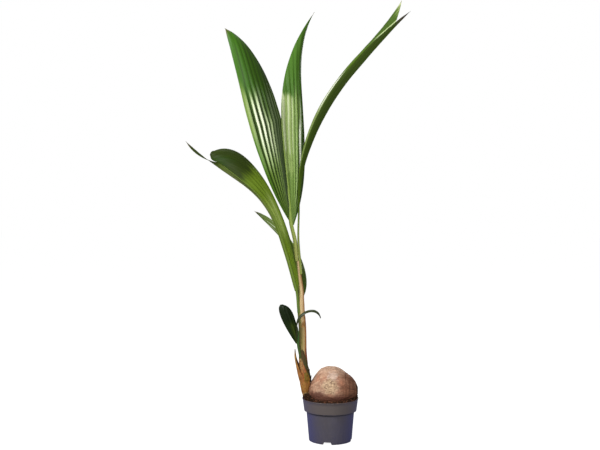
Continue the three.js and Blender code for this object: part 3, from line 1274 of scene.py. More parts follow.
@dataclass(frozen=True)
class NurseryPot:
    """Round moulded pot: skirt, raised floor with a pad, wall, collar and rolled rim."""

    height: float = 143
    rim: float = 96
    bead: float = 1.5
    collar_foot: float = 104
    collar_radius: float = 89.5
    wall_top: float = 97
    wall_radius: float = 81.5
    foot: float = 73
    wall: float = 2
    floor: float = 9
    pad: float = 30
    pad_slope: float = 3
    quarters: int = 4
    notch_angle: float = -100
    notch_width: float = 30
    notch_top: float = 22
    notch_height: float = 8
    drain_radius: float = 5
    drain_ring: float = 52
    cut_depth: float = 8
    segments: int = 192
    sharp_from: float = 50
    finish: Finish = PotPlastic()

    def outside(self) -> list[Pair]:
        """Gives the outline from the middle of the pad over the rim.

        Returns:
            Radii and heights.
        """
        skirt, step, lip = self.foot - self.wall, self.pad + self.pad_slope, self.rim - self.bead
        body, brow = self.wall_radius, self.wall_top
        collar, base = self.collar_radius, self.collar_foot
        rim, top, floor = self.rim, self.height, self.floor
        bow = [
            (collar + (lip - collar) * share, base + (top - 4 - base) * share)
            for share in (0.25, 0.5, 0.75)
        ]
        return [
            (0, 0), (self.pad - 0.6, 0), (self.pad, 0.5), (step, floor - 0.5), (step + 0.6, floor),
            (skirt - 0.6, floor), (skirt, floor - 0.6), (skirt, 0.3), (skirt + 0.3, 0),
            (self.foot - 0.4, 0), (self.foot, 0.4), (self.foot + 0.6, 7),
            (body - 0.5, brow - 5), (body - 0.6, brow + 1.5), (body + 0.2, brow + 2.8),
            (body + 2, brow + 3.6), (collar - 1.2, base - 2.8), (collar - 0.3, base - 2.4),
            (collar, base - 1), *bow, (lip - 0.2, top - 3.4), (rim - 0.5, top - 2.6),
            (rim, top - 1.5), (rim - 0.5, top - 0.4), (lip, top), (lip - 1.2, top - 0.3),
            (lip - self.wall - 0.3, top - 1.5),
        ]

    def inside(self, inset: float) -> list[Pair]:
        """Gives the outline from the collar down to the middle of the floor, inside the pot.

        Args:
            inset: how far in from the outside it is.

        Returns:
            Radii and heights.
        """
        return [
            (self.collar_radius - inset, self.collar_foot + inset),
            (self.wall_radius - inset, self.wall_top + inset),
            (self.foot - inset, self.floor + inset),
            (self.pad - inset + self.pad_slope, self.floor + inset),
            (self.pad - inset, inset),
            (0, inset),
        ]

    def build(self) -> Piece:
        """Makes the pot, with its notches and drain holes cut.

        Returns:
            The piece.
        """
        draft = MeshDraft("nursery_pot")
        draft.add_tube(turned(self.outside() + self.inside(self.wall), self.segments))
        pot = draft.build([self.finish])
        quarters = range(self.quarters)
        carved(pot, [self.notch(number) for number in quarters] + [self.drain(n) for n in quarters])
        pot.data.shade_smooth()
        pot.data.set_sharp_from_angle(angle=math.radians(self.sharp_from))
        return settle(pot, RecordSlot.POT, "pot")

    def notch(self, number: int) -> Piece:
        """Makes the wedge that cuts one notch of the skirt.

        Args:
            number: the notch's number.

        Returns:
            The wedge.
        """
        shaped = bmesh.new()
        bmesh.ops.create_cube(shaped, size=1)
        for corner in shaped.verts:
            above = corner.co.z > 0
            corner.co.x = self.foot + corner.co.x * self.cut_depth
            corner.co.y *= self.notch_top if above else self.notch_width
            corner.co.z = self.notch_height if above else -1
        return self.cutter(shaped, self.notch_angle + 90 * number)

    def drain(self, number: int) -> Piece:
        """Makes the rod that cuts one drain hole of the floor.

        Args:
            number: the hole's number.

        Returns:
            The rod.
        """
        shaped = bmesh.new()
        size = self.drain_radius
        bmesh.ops.create_cone(shaped, cap_ends=True, segments=24, radius1=size, radius2=size,
                              depth=self.cut_depth)
        place = (self.drain_ring, 0, self.floor + self.wall / 2)
        bmesh.ops.translate(shaped, verts=shaped.verts, vec=place)
        return self.cutter(shaped, self.notch_angle + 45 + 90 * number)

    def cutter(self, shaped: bmesh.types.BMesh, angle: float) -> Piece:
        """Turns a shape in millimetres about the pot's axis and makes it an object.

        Args:
            shaped: the shape, which is used up.
            angle: how far it is turned, in degrees.

        Returns:
            The object.
        """
        moved = Matrix.Scale(MM, 4) @ Matrix.Rotation(math.radians(angle), 4, "Z")
        bmesh.ops.transform(shaped, verts=shaped.verts, matrix=moved)
        mesh = bpy.data.meshes.new("cutter")
        shaped.to_mesh(mesh)
        shaped.free()
        mesh.materials.append(self.finish.material())
        return placed("cutter", mesh)


def turned(outline: Sequence[Pair], sides: int) -> Array:
    """Turns an outline about the upright axis.

    Args:
        outline: the outline's radii and heights.
        sides: how many corners each ring gets.

    Returns:
        A ring of corners for each place of the outline.
    """
    radii, heights = np.array(outline, float).T[..., None]
    turn = np.linspace(0, FULL_TURN, sides, endpoint=False)
    return np.stack([radii * np.cos(turn), radii * np.sin(turn), heights + 0 * turn], -1)


@dataclass(frozen=True)
class Coconut:
    """Coconut in its husk, lying on its side: an egg with blunt ridges, dents and creases.

    A place on it is given by x, its place along the axis from -1 at the sprouting end to 1, and by
    a turn in radians about the axis, 0 at the back and a quarter turn on top.
    """

    centre: Place = (9.5, 2, 165)
    half_length: float = 85
    half_depth: float = 77
    crown: float = 83
    keel: float = 48
    sloped: float = 0.155
    ridges: int = 3
    ridge_height: float = 0.03
    scar: Place = (83, -14, 15)
    scar_height: float = 3.4
    scar_radius: float = 6.5
    columns: int = 300
    rows: int = 170
    finish: Finish = HuskFinish()

    def hull(self, x: Array, turn: Array) -> Array:
        """Gives the plain egg's surface.

        Args:
            x: places along the axis.
            turn: turns about it.

        Returns:
            Places in millimetres.
        """
        girth = np.sqrt(np.clip(1 - x * x, 0, 1))
        ridge = 1 + self.ridge_height * np.cos(self.ridges * (turn - math.pi / 2))
        to_right = smooth((x - 0.1) / 0.75) * smooth((1 - x) / 0.08)
        to_left = smooth((-x - 0.45) / 0.35) * smooth((1 + x) / 0.08)
        crown = self.crown * (1 - self.sloped * to_right - self.sloped * to_left)
        tall = np.where(np.sin(turn) > 0, crown, self.keel)
        y = np.cos(turn) * girth * self.half_depth * ridge
        z = np.sin(turn) * girth * tall * ridge
        return np.stack([x * self.half_length, y, z], -1) + np.array(self.centre)

    def relief(self, x: Array, turn: Array) -> Array:
        """Gives the husk's height over the egg: dents, long creases, wrinkles, fibres and a scar.

        Args:
            x: places along the axis.
            turn: turns about it.

        Returns:
            Heights in millimetres.
        """
        c, s = np.cos(turn), np.sin(turn)
        girth = np.sqrt(np.maximum(0.0, 1 - x * x))
        y, z = c * girth, s * girth
        dent = rough(x * 1.5, y * 1.6 + 9, z * 1.6) * 2.6
        fold = 1 - np.abs(rough(c * 3.6 + 5, s * 3.6, x * 0.9 + 2, 2)) * 2.2
        crease = (0.9 + 1.3 * np.maximum(0.0, x)) * np.maximum(0.0, fold - 0.55) * 2.2
        crackle = 1 - np.abs(rough(x * 5.5 + 3, y * 6.5, z * 6.5)) * 2.4
        fibre = rough(c * 17, s * 17, x * 2.5, 2) * 0.3
        place = np.stack([x * self.half_length, y * self.half_depth, z * self.crown], -1)
        away = np.linalg.norm(place - np.array(self.scar), axis=-1) / self.scar_radius
        scar = self.scar_height * np.exp(-(away**2))
        return dent + fibre - crease - 0.9 * np.maximum(0.0, crackle - 0.5) + scar

    def build(self) -> Piece:
        """Makes the husk with its creases and dents.

        Returns:
            The piece.
        """
        polar = np.linspace(0, math.pi, self.rows)
        around = np.linspace(0, FULL_TURN, self.columns, endpoint=False)
        turn, x = np.meshgrid(around, -np.cos(polar))
        corners = self.hull(x, turn)
        outward = unit(corners - np.array(self.centre))
        held = smooth(np.sin(polar) * 2.5)[:, None]
        draft = MeshDraft("coconut_husk")
        draft.add_tube(corners + outward * (self.relief(x, turn) * held)[..., None])
        return settle(draft.build([self.finish]), RecordSlot.HUSK, "coconut")


@dataclass(frozen=True)
class PottingSoil:
    """Potting mix that fills the pot, heaped against the rim, with crumbs and bark chips on it.

    The heap is a mound of crumbs over the rim at its left and right ends. It spreads that many
    degrees both ways, its crest lies that far in from the rim, and it slopes away from the rim.
    """

    pot: NurseryPot
    nut: Coconut
    edge: float = 139
    front_rise: float = 4
    back_rise: float = 22
    shoulder: float = 6
    gap: float = 0.4
    nut_gap: float = 1.5
    crumbs: int = 2200
    chips: int = 150
    heap: int = 640
    heap_chips: float = 0.12
    heap_rise: float = 23
    heap_spread: float = 36
    heap_inner: float = 10.5
    heap_crest: float = 5.8
    heap_half: float = 5.5
    heap_outer: float = 2.9
    heap_slope: float = 0.14
    rings: Pair = (40, 24)
    columns: int = 240
    finishes: tuple[Finish, ...] = (
        EarthFinish("damp potting mix", screen(24, 15, 10), screen(46, 30, 20)),
        EarthFinish("peat crumb", screen(42, 27, 18), screen(74, 48, 32), 700.0),
        EarthFinish("bark chip", screen(82, 50, 36), screen(122, 82, 60), 350.0),
    )

    @property
    def radius(self) -> float:
        """Gives the radius of the soil at the rim."""
        return self.pot.rim - self.pot.bead - self.pot.wall - 0.6

    def level(self, x: Array, y: Array) -> Array:
        """Gives the soil's height before its roughness, higher at the back than in front.

        Args:
            x: places to the right of the pot's axis.
            y: places behind it.

        Returns:
            Heights.
        """
        away = np.hypot(x, y)
        behind = smooth(1 + y / np.maximum(away, 1))
        rise = self.front_rise + (self.back_rise - self.front_rise) * behind
        return self.edge + rise * smooth((self.radius - away) / self.shoulder)

    def under_nut(self, x: Array, y: Array) -> Array:
        """Gives the height just below the coconut's underside, or a large number beside it.

        Args:
            x: places to the right of the pot's axis.
            y: places behind it.

        Returns:
            Heights.
        """
        across = (x - self.nut.centre[0]) / self.nut.half_length
        deep = (y - self.nut.centre[1]) / self.nut.half_depth
        covered = 1 - across**2 - deep**2
        under = self.nut.centre[2] - self.nut.keel * np.sqrt(np.clip(covered, 0, 1)) - self.nut_gap
        return np.where(covered > 0, under, 1e3)

    def build(self) -> Piece:
        """Makes the soil, its crumbs and its chips as one piece.

        Returns:
            The piece.
        """
        inner, outer = self.rings
        share = np.concatenate([np.linspace(0, 0.8, inner), np.linspace(0.81, 1, outer)])[:, None]
        turn = np.linspace(0, FULL_TURN, self.columns, endpoint=False)[None, :]
        x, y = share * self.radius * np.cos(turn), share * self.radius * np.sin(turn)
        bumps = 1.5 * rough(x / 7, y / 7, 3.3, 4) * smooth((1 - share) * 12)
        z = np.minimum(self.level(x, y) + bumps, self.under_nut(x, y))
        below = turned(self.pot.inside(self.pot.wall + self.gap), self.columns)
        draft = MeshDraft("potting_soil")
        draft.add_tube(np.concatenate([np.stack([x, y, z], -1), below]))
        self.strew(draft)
        return settle(draft.build(self.finishes), RecordSlot.SOIL, "soil")

    def strew(self, draft: MeshDraft) -> None:
        """Lays crumbs and chips on the soil, clear of the coconut, and heaps them at the rim.

        Args:
            draft: the soil's mesh.
        """
        draw = random.Random(41)
        lump = bmesh.new()
        bmesh.ops.create_cube(lump, size=1)
        bmesh.ops.subdivide_edges(lump, edges=lump.edges, cuts=1, use_grid_fill=True)
        lump.verts.index_update()
        shape = unit(np.array([corner.co for corner in lump.verts]))
        faces = np.array([[corner.index for corner in face.verts] for face in lump.faces])
        lump.free()

        def drop(place: Place, size: float, is_chip: bool) -> None:
            """Lays one crumb or chip.

            Args:
                place: its centre.
                size: about half its length.
                is_chip: whether it is a chip.
            """
            flat = (draw.uniform(0.8, 1.5), draw.uniform(0.5, 0.9), draw.uniform(0.3, 0.7))
            spun, tipped = draw.uniform(0, 6.3), draw.uniform(-0.7, 0.7)
            lies = Matrix.Rotation(spun, 3, "Z") @ Matrix.Rotation(tipped, 3, "X")
            lumpy = shape * np.array([[1 + draw.uniform(-0.2, 0.2)] for _ in shape])
            corners = (lumpy * flat * size) @ np.array(lies).T + place
            draft.add(corners, faces, np.zeros((faces.size, 2)), 2 if is_chip else 1)

        left = self.crumbs + self.chips
        while left > 0:
            angle, share = draw.uniform(0, FULL_TURN), math.sqrt(draw.uniform(0.35, 0.985))
            x, y = share * self.radius * math.cos(angle), share * self.radius * math.sin(angle)
            ground = float(self.level(x, y))
            if ground > float(self.under_nut(x, y)) + 12:
                continue
            is_chip = left <= self.chips
            size = draw.uniform(1.8, 4.4) if is_chip else draw.uniform(0.8, 3.0)
            drop((x, y, ground + size * draw.uniform(0.1, 0.5)), size, is_chip)
            left -= 1
        rim = self.pot.rim
        for number in range(self.heap):
            off = draw.uniform(-1, 1)
            angle = math.radians(180 * (number % 2) + off * self.heap_spread)
            away = draw.uniform(rim - self.heap_inner, rim - self.heap_outer)
            crest = 1 - ((away - rim + self.heap_crest) / self.heap_half) ** 2
            rise = self.heap_rise * crest * (1 - off * off) * draw.random() ** 0.7
            away = min(away, rim - self.heap_outer - self.heap_slope * rise)
            size = draw.uniform(1.8, 3.6)
            place = (away * math.cos(angle), away * math.sin(angle), self.pot.height - 1 + rise)
            drop(place, size, draw.random() < self.heap_chips)


# Stem


@dataclass(frozen=True)
class Wrap:
    """One leaf sheath that wraps the stem, from its foot to its ragged mouth.

    turn is where its middle is at the foot and at the mouth, in degrees, 0 on the right and 90 in
    front. spread is how far it reaches from there, both ways.
    """

    finish: Finish
    foot: float
    mouth: float
    turn: Pair
    spread: Pair
    thickness: float
    ragged: float = 5.0

    def cover(self, turn: Array, height: Array) -> Array:
        """Tells where the sheath covers the stem.

        Args:
            turn: turns in degrees, as a row.
            height: heights in millimetres, as a column.

        Returns:
            True where it covers.
        """
        share = np.clip((height - self.foot) / (self.mouth - self.foot), 0, 1)
        centre, half = (ends[0] + (ends[1] - ends[0]) * share for ends in (self.turn, self.spread))
        away = np.abs((turn - centre + 180) % 360 - 180)
        angle = np.radians(turn)
        jag = rough(np.cos(angle) * 4, np.sin(angle) * 4, self.mouth * 0.1, 4)
        wobble = rough(height / 22, self.foot * 0.3, 1.7)
        lip = self.mouth + self.ragged * jag - away / np.maximum(half, 1) * self.ragged
        return (away < half + 5 * wobble) & (height > self.foot) & (height < lip)


@dataclass(frozen=True)
class Stem:
    """Slim stem of rolled leaf sheaths, with the edges of the outer ones standing proud."""

    rows: tuple[Row, ...]
    core: Finish
    wraps: tuple[Wrap, ...]
    root_skin: Finish
    roots: tuple[tuple[Place, Place, Place], ...]
    root_radius: float = 2.3
    groove: float = 0.35
    sides: int = 132
    steps: int = 360

    def build(self) -> Piece:
        """Makes the stem with the relief of its sheaths, and the stubs of its roots.

        Returns:
            The piece.
        """
        limb = Limb(*read_rows(self.rows), self.sides, self.steps)
        height = limb.route.at(limb.along[:, 0])[:, 2:]
        top = np.zeros((self.steps + 1, self.sides), int)
        relief = np.zeros(top.shape)
        for number, wrap in enumerate(self.wraps, start=1):
            covered = wrap.cover(np.degrees(limb.turn), height)
            top[covered] = number
            relief[covered] += wrap.thickness
        relief += self.groove * limb.skin_noise(5, height / 90)
        corners, _ = limb.surface(relief)
        rings = len(limb.CAP)
        finish = np.pad(top, ((rings, rings), (0, 0)), mode="edge")[:-1]
        draft = MeshDraft("stem_sheaths")
        draft.add_tube(corners, np.pad(height[:, 0], rings, mode="edge") / 100, finish)
        for number, places in enumerate(self.roots):
            root = Limb(Curve.through(places), self.root_sizes, 14, 16)
            skin, shares = root.surface(0.4 * root.skin_noise(2, root.along * 7 + number))
            draft.add_tube(skin, shares * 0.3, len(self.wraps) + 1)
        finishes = [self.core, *(wrap.finish for wrap in self.wraps), self.root_skin]
        return settle(draft.build(finishes), RecordSlot.STEM, "stem")

    def root_sizes(self, along: Array) -> tuple[Array, Array]:
        """Gives a root stub's half width and half depth."""
        return self.root_radius * (1 - 0.45 * along), self.root_radius * (1 - 0.4 * along)


@dataclass(frozen=True)
class DrySheath:
    """Papery old sheath that stands off the foot of the stem, rolled round a hollow front.

    Its edges are turns in degrees, 0 on the right and 90 in front. The front one opens further up.
    """

    rows: tuple[Row, ...]
    outside: Finish
    inside: Finish
    back_edge: float = 318
    front_edge: float = 52
    opened: float = 36
    thickness: float = 0.9
    crumpled: float = 0.06
    columns: int = 40
    steps: int = 110

    def build(self) -> Piece:
        """Makes the sheath as a curled shell.

        Returns:
            The piece.
        """
        route, half_sizes = read_rows(self.rows)
        along = np.linspace(0, 1, self.steps + 1)[:, None]
        wide, thick = half_sizes(along)
        front = self.front_edge + self.opened * smooth((along - 0.3) / 0.35)
        across = np.linspace(0, 1, self.columns)
        turn = np.radians(self.back_edge + (front - self.back_edge) * across)
        x, y = np.cos(turn), np.sin(turn)
        grown = 1 + self.crumpled * rough(x * 3, y * 3, along * 9)
        corners = route.rings(along[:, 0], x * wide * grown, y * thick * grown)
        flat = np.meshgrid(across, route.at(along[:, 0])[:, 2] / 100)
        draft = MeshDraft("foot_sheath_shell")
        draft.add_grid(corners, np.stack(flat, -1))
        shell = draft.build([self.outside, self.inside], closed=False)
        thicken(shell, self.thickness, 1)
        return settle(shell, RecordSlot.DRY, "foot_sheath")


@dataclass(frozen=True)
class Scale:
    """A withered scale at the foot of the stem: a curled, pointed tongue."""

    node: str
    root: Place
    tip: Place
    finish: Finish
    radius: float = 4.6
    bent: Place = (-1.2, 0, 0)

    def half_sizes(self, along: Array) -> tuple[Array, Array]:
        """Gives the scale's half width and half depth."""
        return self.radius * (1.02 - along**2.4), self.radius * 1.1 * (1.02 - along**2.2)

    def build(self) -> Piece:
        """Makes the scale.

        Returns:
            The piece.
        """
        root, tip = np.array(self.root), np.array(self.tip)
        middle = root + (tip - root) * 0.5 + np.array(self.bent)
        limb = Limb(Curve.through([root, middle, tip]), self.half_sizes, 20, 24)
        draft = MeshDraft(f"withered_{self.node}")
        draft.add_tube(*limb.surface(0.45 * limb.skin_noise(3, limb.along * 6) * (1 - limb.along)))
        return settle(draft.build([self.finish]), RecordSlot.DRY, self.node)


# Leaves


@dataclass(frozen=True)
class Stalk:
    """A leaf's stalk: its root, the places it bends at, and its half width at both ends.

    sink is how far it reaches back from its root, and taper how late it grows thin.
    """

    root: Place
    bends: tuple[Place, ...]
    radii: Pair
    sink: float
    finish: Finish
    taper: float = 1.35

    def half_sizes(self, along: Array) -> tuple[Array, Array]:
        """Gives the stalk's half width and half depth, which are alike."""
        size = self.radii[0] + (self.radii[1] * 0.45 - self.radii[0]) * along**self.taper
        return size, size


@dataclass(frozen=True)
class LeafHalf:
    """One pleated half of a leaf, between its inner and outer edges.

    cup is how far it bulges, as a share of its width. margin is the pulls of the inner edge's free
    part, from the rib's end to the outer edge's end. flattened is how much of the pleats is lost
    towards the tip, and crowding how much they crowd towards the outer edge.
    """

    name: str
    outer: Cubic
    pleats: int
    cup: float
    paint: LeafPaint
    margin: tuple[Place, Place] | None = None
    tip_width: float = 1.2
    ripple: float = 1.6
    relief: float = 1.0
    flattened: float = 0.6
    crowding: float = 0.0


@dataclass(frozen=True)
class Leaf:
    """A leaf: a stalk that runs on as the rib, and pleated halves on both sides of it.

    stops is where a pleat has corners, in shares of it. light is where the light comes from: faces turned towards it
    take the lit copy of the paint and the others the shaded copy, as painted light and shade.
    """

    name: str
    rib: Cubic
    halves: tuple[LeafHalf, ...]
    slot: RecordSlot
    stalk: Stalk | None = None
    rib_share: float = 0.97
    channel: float = 0.16
    pleat_depth: float = 5.0
    pleat_steepness: float = 0.4
    least_pleats: float = 0.9
    vein_half: float = 0.03
    end_share: float = 0.03
    least_width: float = 1.2
    thickness: float = 0.55
    steps: int = 130
    end_steps: int = 18
    light: Place = (-0.97, 0.0, 0.24)
    stops: tuple[float, ...] = (0.0, 0.04, 0.16, 0.3, 0.41, 0.46, 0.5, 0.54, 0.59, 0.7, 0.84, 0.96)

    def build(self) -> list[Piece]:
        """Makes the stalk and the halves."""
        pieces = [self.stalk_piece(self.stalk)] if self.stalk else []
        return pieces + [self.half_piece(half) for half in self.halves]

    def stalk_piece(self, stalk: Stalk) -> Piece:
        """Makes the stalk and the rib: a limb with a channel along its front.

        Args:
            stalk: the stalk.

        Returns:
            The piece.
        """
        rib = cubic(self.rib, np.array([0, 0.25, 0.5, 0.75, 1]) * self.rib_share)
        places = np.array([stalk.root, *stalk.bends, *rib], float)
        sunk = places[0] + unit(places[0] - places[1]) * stalk.sink
        points = Curve.through(places).points
        points = np.concatenate([np.linspace(sunk, places[0], 30, endpoint=False), points])
        limb = Limb(Curve(points, by_length=False), stalk.half_sizes, 24, 170)
        hollow = np.exp(-(((limb.turn - math.pi / 2) / 0.55) ** 2))
        draft = MeshDraft(f"{self.name}_stalk_skin")
        draft.add_tube(*limb.surface(-self.channel * stalk.radii[0] * (1 - limb.along) * hollow))
        slot = RecordSlot.STALK if self.slot is RecordSlot.LEAF else self.slot
        return settle(draft.build([stalk.finish]), slot, f"{self.name}_stalk")

    def half_piece(self, half: LeafHalf) -> Piece:
        """Makes one half as a thin, pleated blade.

        Args:
            half: the half.

        Returns:
            The piece.
        """
        corners, pleat, along, face = self.blade(half)
        flat = np.stack([pleat, np.broadcast_to(along, pleat.shape)], -1)
        ahead = corners[1:, :-1] - corners[:-1, :-1]
        slopes = np.cross(corners[:-1, 1:] - corners[:-1, :-1], ahead)
        whole = slopes.sum(axis=(0, 1))
        stops = self.all_stops(half)
        phase = (stops[:-1] + stops[1:]) / 2 % 1
        ridge = 0.5 if whole @ face.sum(axis=0) > 0 else 0.0
        if whole[1] > 0:
            corners, flat, slopes = corners[:, ::-1], flat[:, ::-1], -slopes[:, ::-1]
            phase, whole, ridge = phase[::-1], -whole, 0.5 - ridge
        # Painted light and shade: faces turned towards the light take the lit copy of the paint, the others the shaded
        # copy.
        lit = unit(slopes.sum(axis=0)) @ self.light > unit(whole) @ self.light
        finish = np.where(lit, Flank.SUN.value, Flank.SHADE.value)
        from_ridge = np.abs((phase - ridge + 0.5) % 1 - 0.5)
        finish = np.where(from_ridge < self.vein_half, Flank.VEIN.value, finish)
        draft = MeshDraft(f"{self.name}_{half.name}_skin")
        draft.add_grid(corners, flat, finish[None, :])
        over = [LeafFinish(half.paint, flank) for flank in (Flank.SUN, Flank.SHADE, Flank.VEIN)]
        under = [LeafFinish(half.paint, Flank.UNDER)] * len(over)
        piece = draft.build(over + under, closed=False)
        thicken(piece, self.thickness, len(over))
        return settle(piece, self.slot, f"{self.name}_{half.name}")

    def all_stops(self, half: LeafHalf) -> Array:
        """Gives where a half has corners across it, in pleats from its outer edge."""
        stops = (np.arange(half.pleats)[:, None] + np.array(self.stops)[None, :]).ravel()
        return np.append(stops, half.pleats)

    def blade(self, half: LeafHalf) -> tuple[Array, ...]:
        """Works out a half's corners.

        Args:
            half: the half.

        Returns:
            The corners by step and stop, each one's place in pleats from the outer edge, each
            step's share along as a column, and the direction each step faces.
        """
        margin = [(self.rib[-1], *half.margin, half.outer[-1])] if half.margin else []
        outer, inner = Curve.cubics(half.outer), Curve.cubics(self.rib, *margin)
        ends = 0.95 + 0.05 * np.sin(np.linspace(0, math.pi / 2, self.end_steps))[1:]
        shares = np.concatenate([np.linspace(0, 0.95, self.steps), ends])
        held = np.clip(shares, self.end_share, 1 - self.end_share)
        side = unit(outer.at(held) - inner.at(held))
        face = unit(np.cross(unit(inner.heading(held) + outer.heading(held)), side))
        start, end = inner.at(shares), outer.at(shares)
        extra = (half.tip_width - self.least_width) * smooth((shares - 0.75) / 0.25)
        width = np.maximum(np.linalg.norm(end - start, axis=1), self.least_width + extra)
        width = width * np.sqrt(1 - 0.98 * np.clip((shares - 0.965) / 0.035, 0, 1) ** 2)
        pleats = self.pleats_left(half, width)[:, None]
        along, width = shares[:, None], width[:, None]
        pleat = np.minimum(self.all_stops(half)[None, :], pleats)
        from_edge = pleat / pleats
        spread = 1 - from_edge - half.crowding * from_edge * (1 - from_edge)
        fold = (0.5 - np.abs((pleat % 1) * 2 - 1)) * smooth((pleats - pleat) / 0.5)
        steep = np.minimum(self.pleat_depth, self.pleat_steepness * (width / pleats))
        depth = np.minimum(steep, 0.3 * width) * half.relief * smooth(along / 0.05)
        depth = depth * (1 - half.flattened * smooth((along - 0.58) / 0.16))
        bulge = half.cup * (width * 4 * spread * (1 - spread))
        ripple = rough(along * 5, spread * 1.5, half.outer[-1][2] * 0.01, 2)
        out = bulge + fold * depth + half.ripple * ripple * smooth(along * 3)
        middle = (start + end) / 2
        aside = side[:, None] * ((spread - 0.5) * width)[..., None]
        return middle[:, None] + aside + face[:, None] * out[..., None], pleat, along, face

    def pleats_left(self, half: LeafHalf, width: Array) -> Array:
        """Counts the pleats: past its widest place a half loses them at its inner edge.

        Args:
            half: the half.
            width: its width at each step.

        Returns:
            The number of pleats at each step, not rounded.
        """
        widest = int(np.argmax(width))
        left = np.full(len(width), float(half.pleats))
        share = width[widest:] / width[widest]
        left[widest:] = np.maximum(half.pleats * share, self.least_pleats)
        return left


# The plant's own numbers

GREEN_STALK, RIGHT_STALK, ARCHING_STALK, SMALL_STALK = (
    StalkFinish(name, screen(*foot), screen(*end), screen(*side))
    for name, foot, end, side in (
        ("green stalk", (184, 180, 104), (152, 176, 78), (108, 132, 50)),
        ("olive stalk", (140, 150, 72), (98, 118, 44), (66, 82, 30)),
        ("arching stalk", (84, 106, 42), (110, 132, 50), (52, 72, 24)),
        ("small stalk", (70, 78, 34), (58, 96, 44), (42, 62, 28)),
    )
)

UPRIGHT_LEFT = LeafPaint(
    "upright left",
    leafy(64, 106, 32),
    leafy(66, 106, 36),
    tints(
        leafy,
        # Painted shade (these two rows): the right part, turned away from the light, darker towards the tip.
        ((54, 78, 24), (2.6, 99), (0.6, 9), 0.85, (1.3, 0.1)),
        ((38, 50, 18), (6.0, 99), (0.5, 9), 0.9, (1.0, 0.1)),
        ((76, 100, 40), (0.6, 99), (-9, 0.62), 0.85, (0.3, 0.08)),
        # Painted shade (this row): the right part lower down.
        ((46, 60, 22), (5.2, 99), (-9, 0.72), 0.85, (0.9, 0.08)),
        # Painted shade (these two rows): darker valleys between the pleats.
        ((46, 62, 18), (0.6, 99), (0.05, 0.9), 0.65, (0.3, 0.06), (0.95, 0.14)),
        ((46, 60, 20), (0.6, 99), (0.12, 0.63), 0.8, (0.3, 0.06), (0.95, 0.22)),
        # Painted highlights (these five rows): the lamps' reflection as pale and near-white stripes on the pleats'
        # ridges.
        ((118, 144, 66), (-9, 6.0), (0.05, 0.36), 0.7, (0.6, 0.06), (0.42, 0.2)),
        ((192, 212, 154), (-9, 3.1), (0.31, 0.645), 0.9, (0.5, 0.055), (0.43, 0.2)),
        ((172, 192, 132), (3.1, 5.1), (0.31, 0.54), 0.8, (0.5, 0.055), (0.43, 0.2)),
        ((242, 248, 220), (0.9, 3.1), (0.4, 0.6), 0.9, (0.5, 0.07), (0.44, 0.19)),
        ((230, 238, 204), (3.1, 4.3), (0.36, 0.5), 0.85, (0.5, 0.06), (0.44, 0.17)),
        ((136, 148, 112), (5.2, 99), (0.36, 0.66), 0.6, (0.5, 0.08), (0.5, 0.1)),
        ((128, 150, 78), (-9, 0.55), (0.44, 0.7), 0.7, (0.2, 0.06)),
        ((80, 118, 40), (-9, 0.7), (0.06, 0.44), 0.75, (0.2, 0.06)),
    ),
)
UPRIGHT_RIGHT = LeafPaint(
    "upright right",
    leafy(76, 116, 42),
    leafy(80, 118, 44),
    tints(
        leafy,
        # Painted shade (this row): the right edge towards the tip, turned away from the light.
        ((60, 88, 30), (-9, 2.4), (0.66, 9), 0.6, (0.8, 0.1)),
        # Painted reflection (this row): the lamps' reflection lightens the lower part.
        ((132, 158, 84), (2.0, 99), (-9, 0.57), 0.9, (0.3, 0.03)),
        # Painted shade (this row): darker valleys between the pleats, low down.
        ((94, 120, 50), (2.2, 99), (-9, 0.575), 0.7, (0.3, 0.03), (0.95, 0.14)),
        # Painted highlights (this row): pale stripes on the pleats' ridges.
        ((182, 206, 138), (3.0, 4.0), (0.1, 0.6), 0.8, (0.2, 0.05), (0.45, 0.2)),
        # Painted reflection (these two rows): the lamps' reflection makes the lower left part pale, with near-white
        # stripes on the ridges.
        ((156, 178, 106), (4.4, 99), (0.22, 0.583), 0.9, (0.4, 0.014)),
        ((212, 222, 178), (4.4, 99), (0.32, 0.583), 0.85, (0.4, 0.014), (0.45, 0.2)),
        # Painted shade (this row): the dark line beside the white strip.
        ((70, 92, 34), (2.25, 3.0), (0.1, 0.62), 0.85, (0.12, 0.05)),
        # Painted highlight (these two rows): the white strip, a pleat face that catches the lamps' reflection.
        ((252, 255, 240), (1.55, 2.35), (0.2, 0.44), 1.0, (0.12, 0.05)),
        ((236, 244, 216), (1.35, 1.8), (0.44, 0.56), 1.0, (0.12, 0.05)),
        # Painted shade (this row): the dark strip along the right edge, turned away from the light.
        ((52, 68, 26), (-9, 1.2), (0.05, 0.64), 0.9, (0.14, 0.07)),
    ),
)
RIGHT_NEAR = LeafPaint(
    "right near",
    leafy(62, 80, 26),
    leafy(68, 86, 30),
    tints(
        leafy,
        # Painted shade (these two rows): the lower outer edge, turned away from the light, and the shaded sides of the
        # pleats.
        ((44, 54, 18), (-9, 2.4), ALL, 0.75, (1.0, 0.1)),
        ((50, 64, 20), ALL, ALL, 0.4, (0.7, 0.1), None, SHADED),
        ((92, 114, 46), (3.4, 99), (0.02, 0.34), 0.7, (0.4, 0.05)),
        ((84, 118, 36), (3.4, 99), (0.66, 0.9), 0.7, (0.4, 0.05)),
        # Painted highlight (these two rows): the pale strip and the white line along the fold by the rib.
        ((140, 158, 96), (3.6, 99), (0.24, 0.54), 0.8, (0.3, 0.08)),
        ((240, 244, 220), (4.0, 99), (0.47, 0.65), 1.0, (0.2, 0.03)),
        ((82, 106, 38), ALL, (-9, 0.16), 0.6, (0.7, 0.08)),
    ),
    tip=leafy(58, 54, 44),
    tip_from=0.94,
    roughness=0.5,
    gloss=0.08,
)
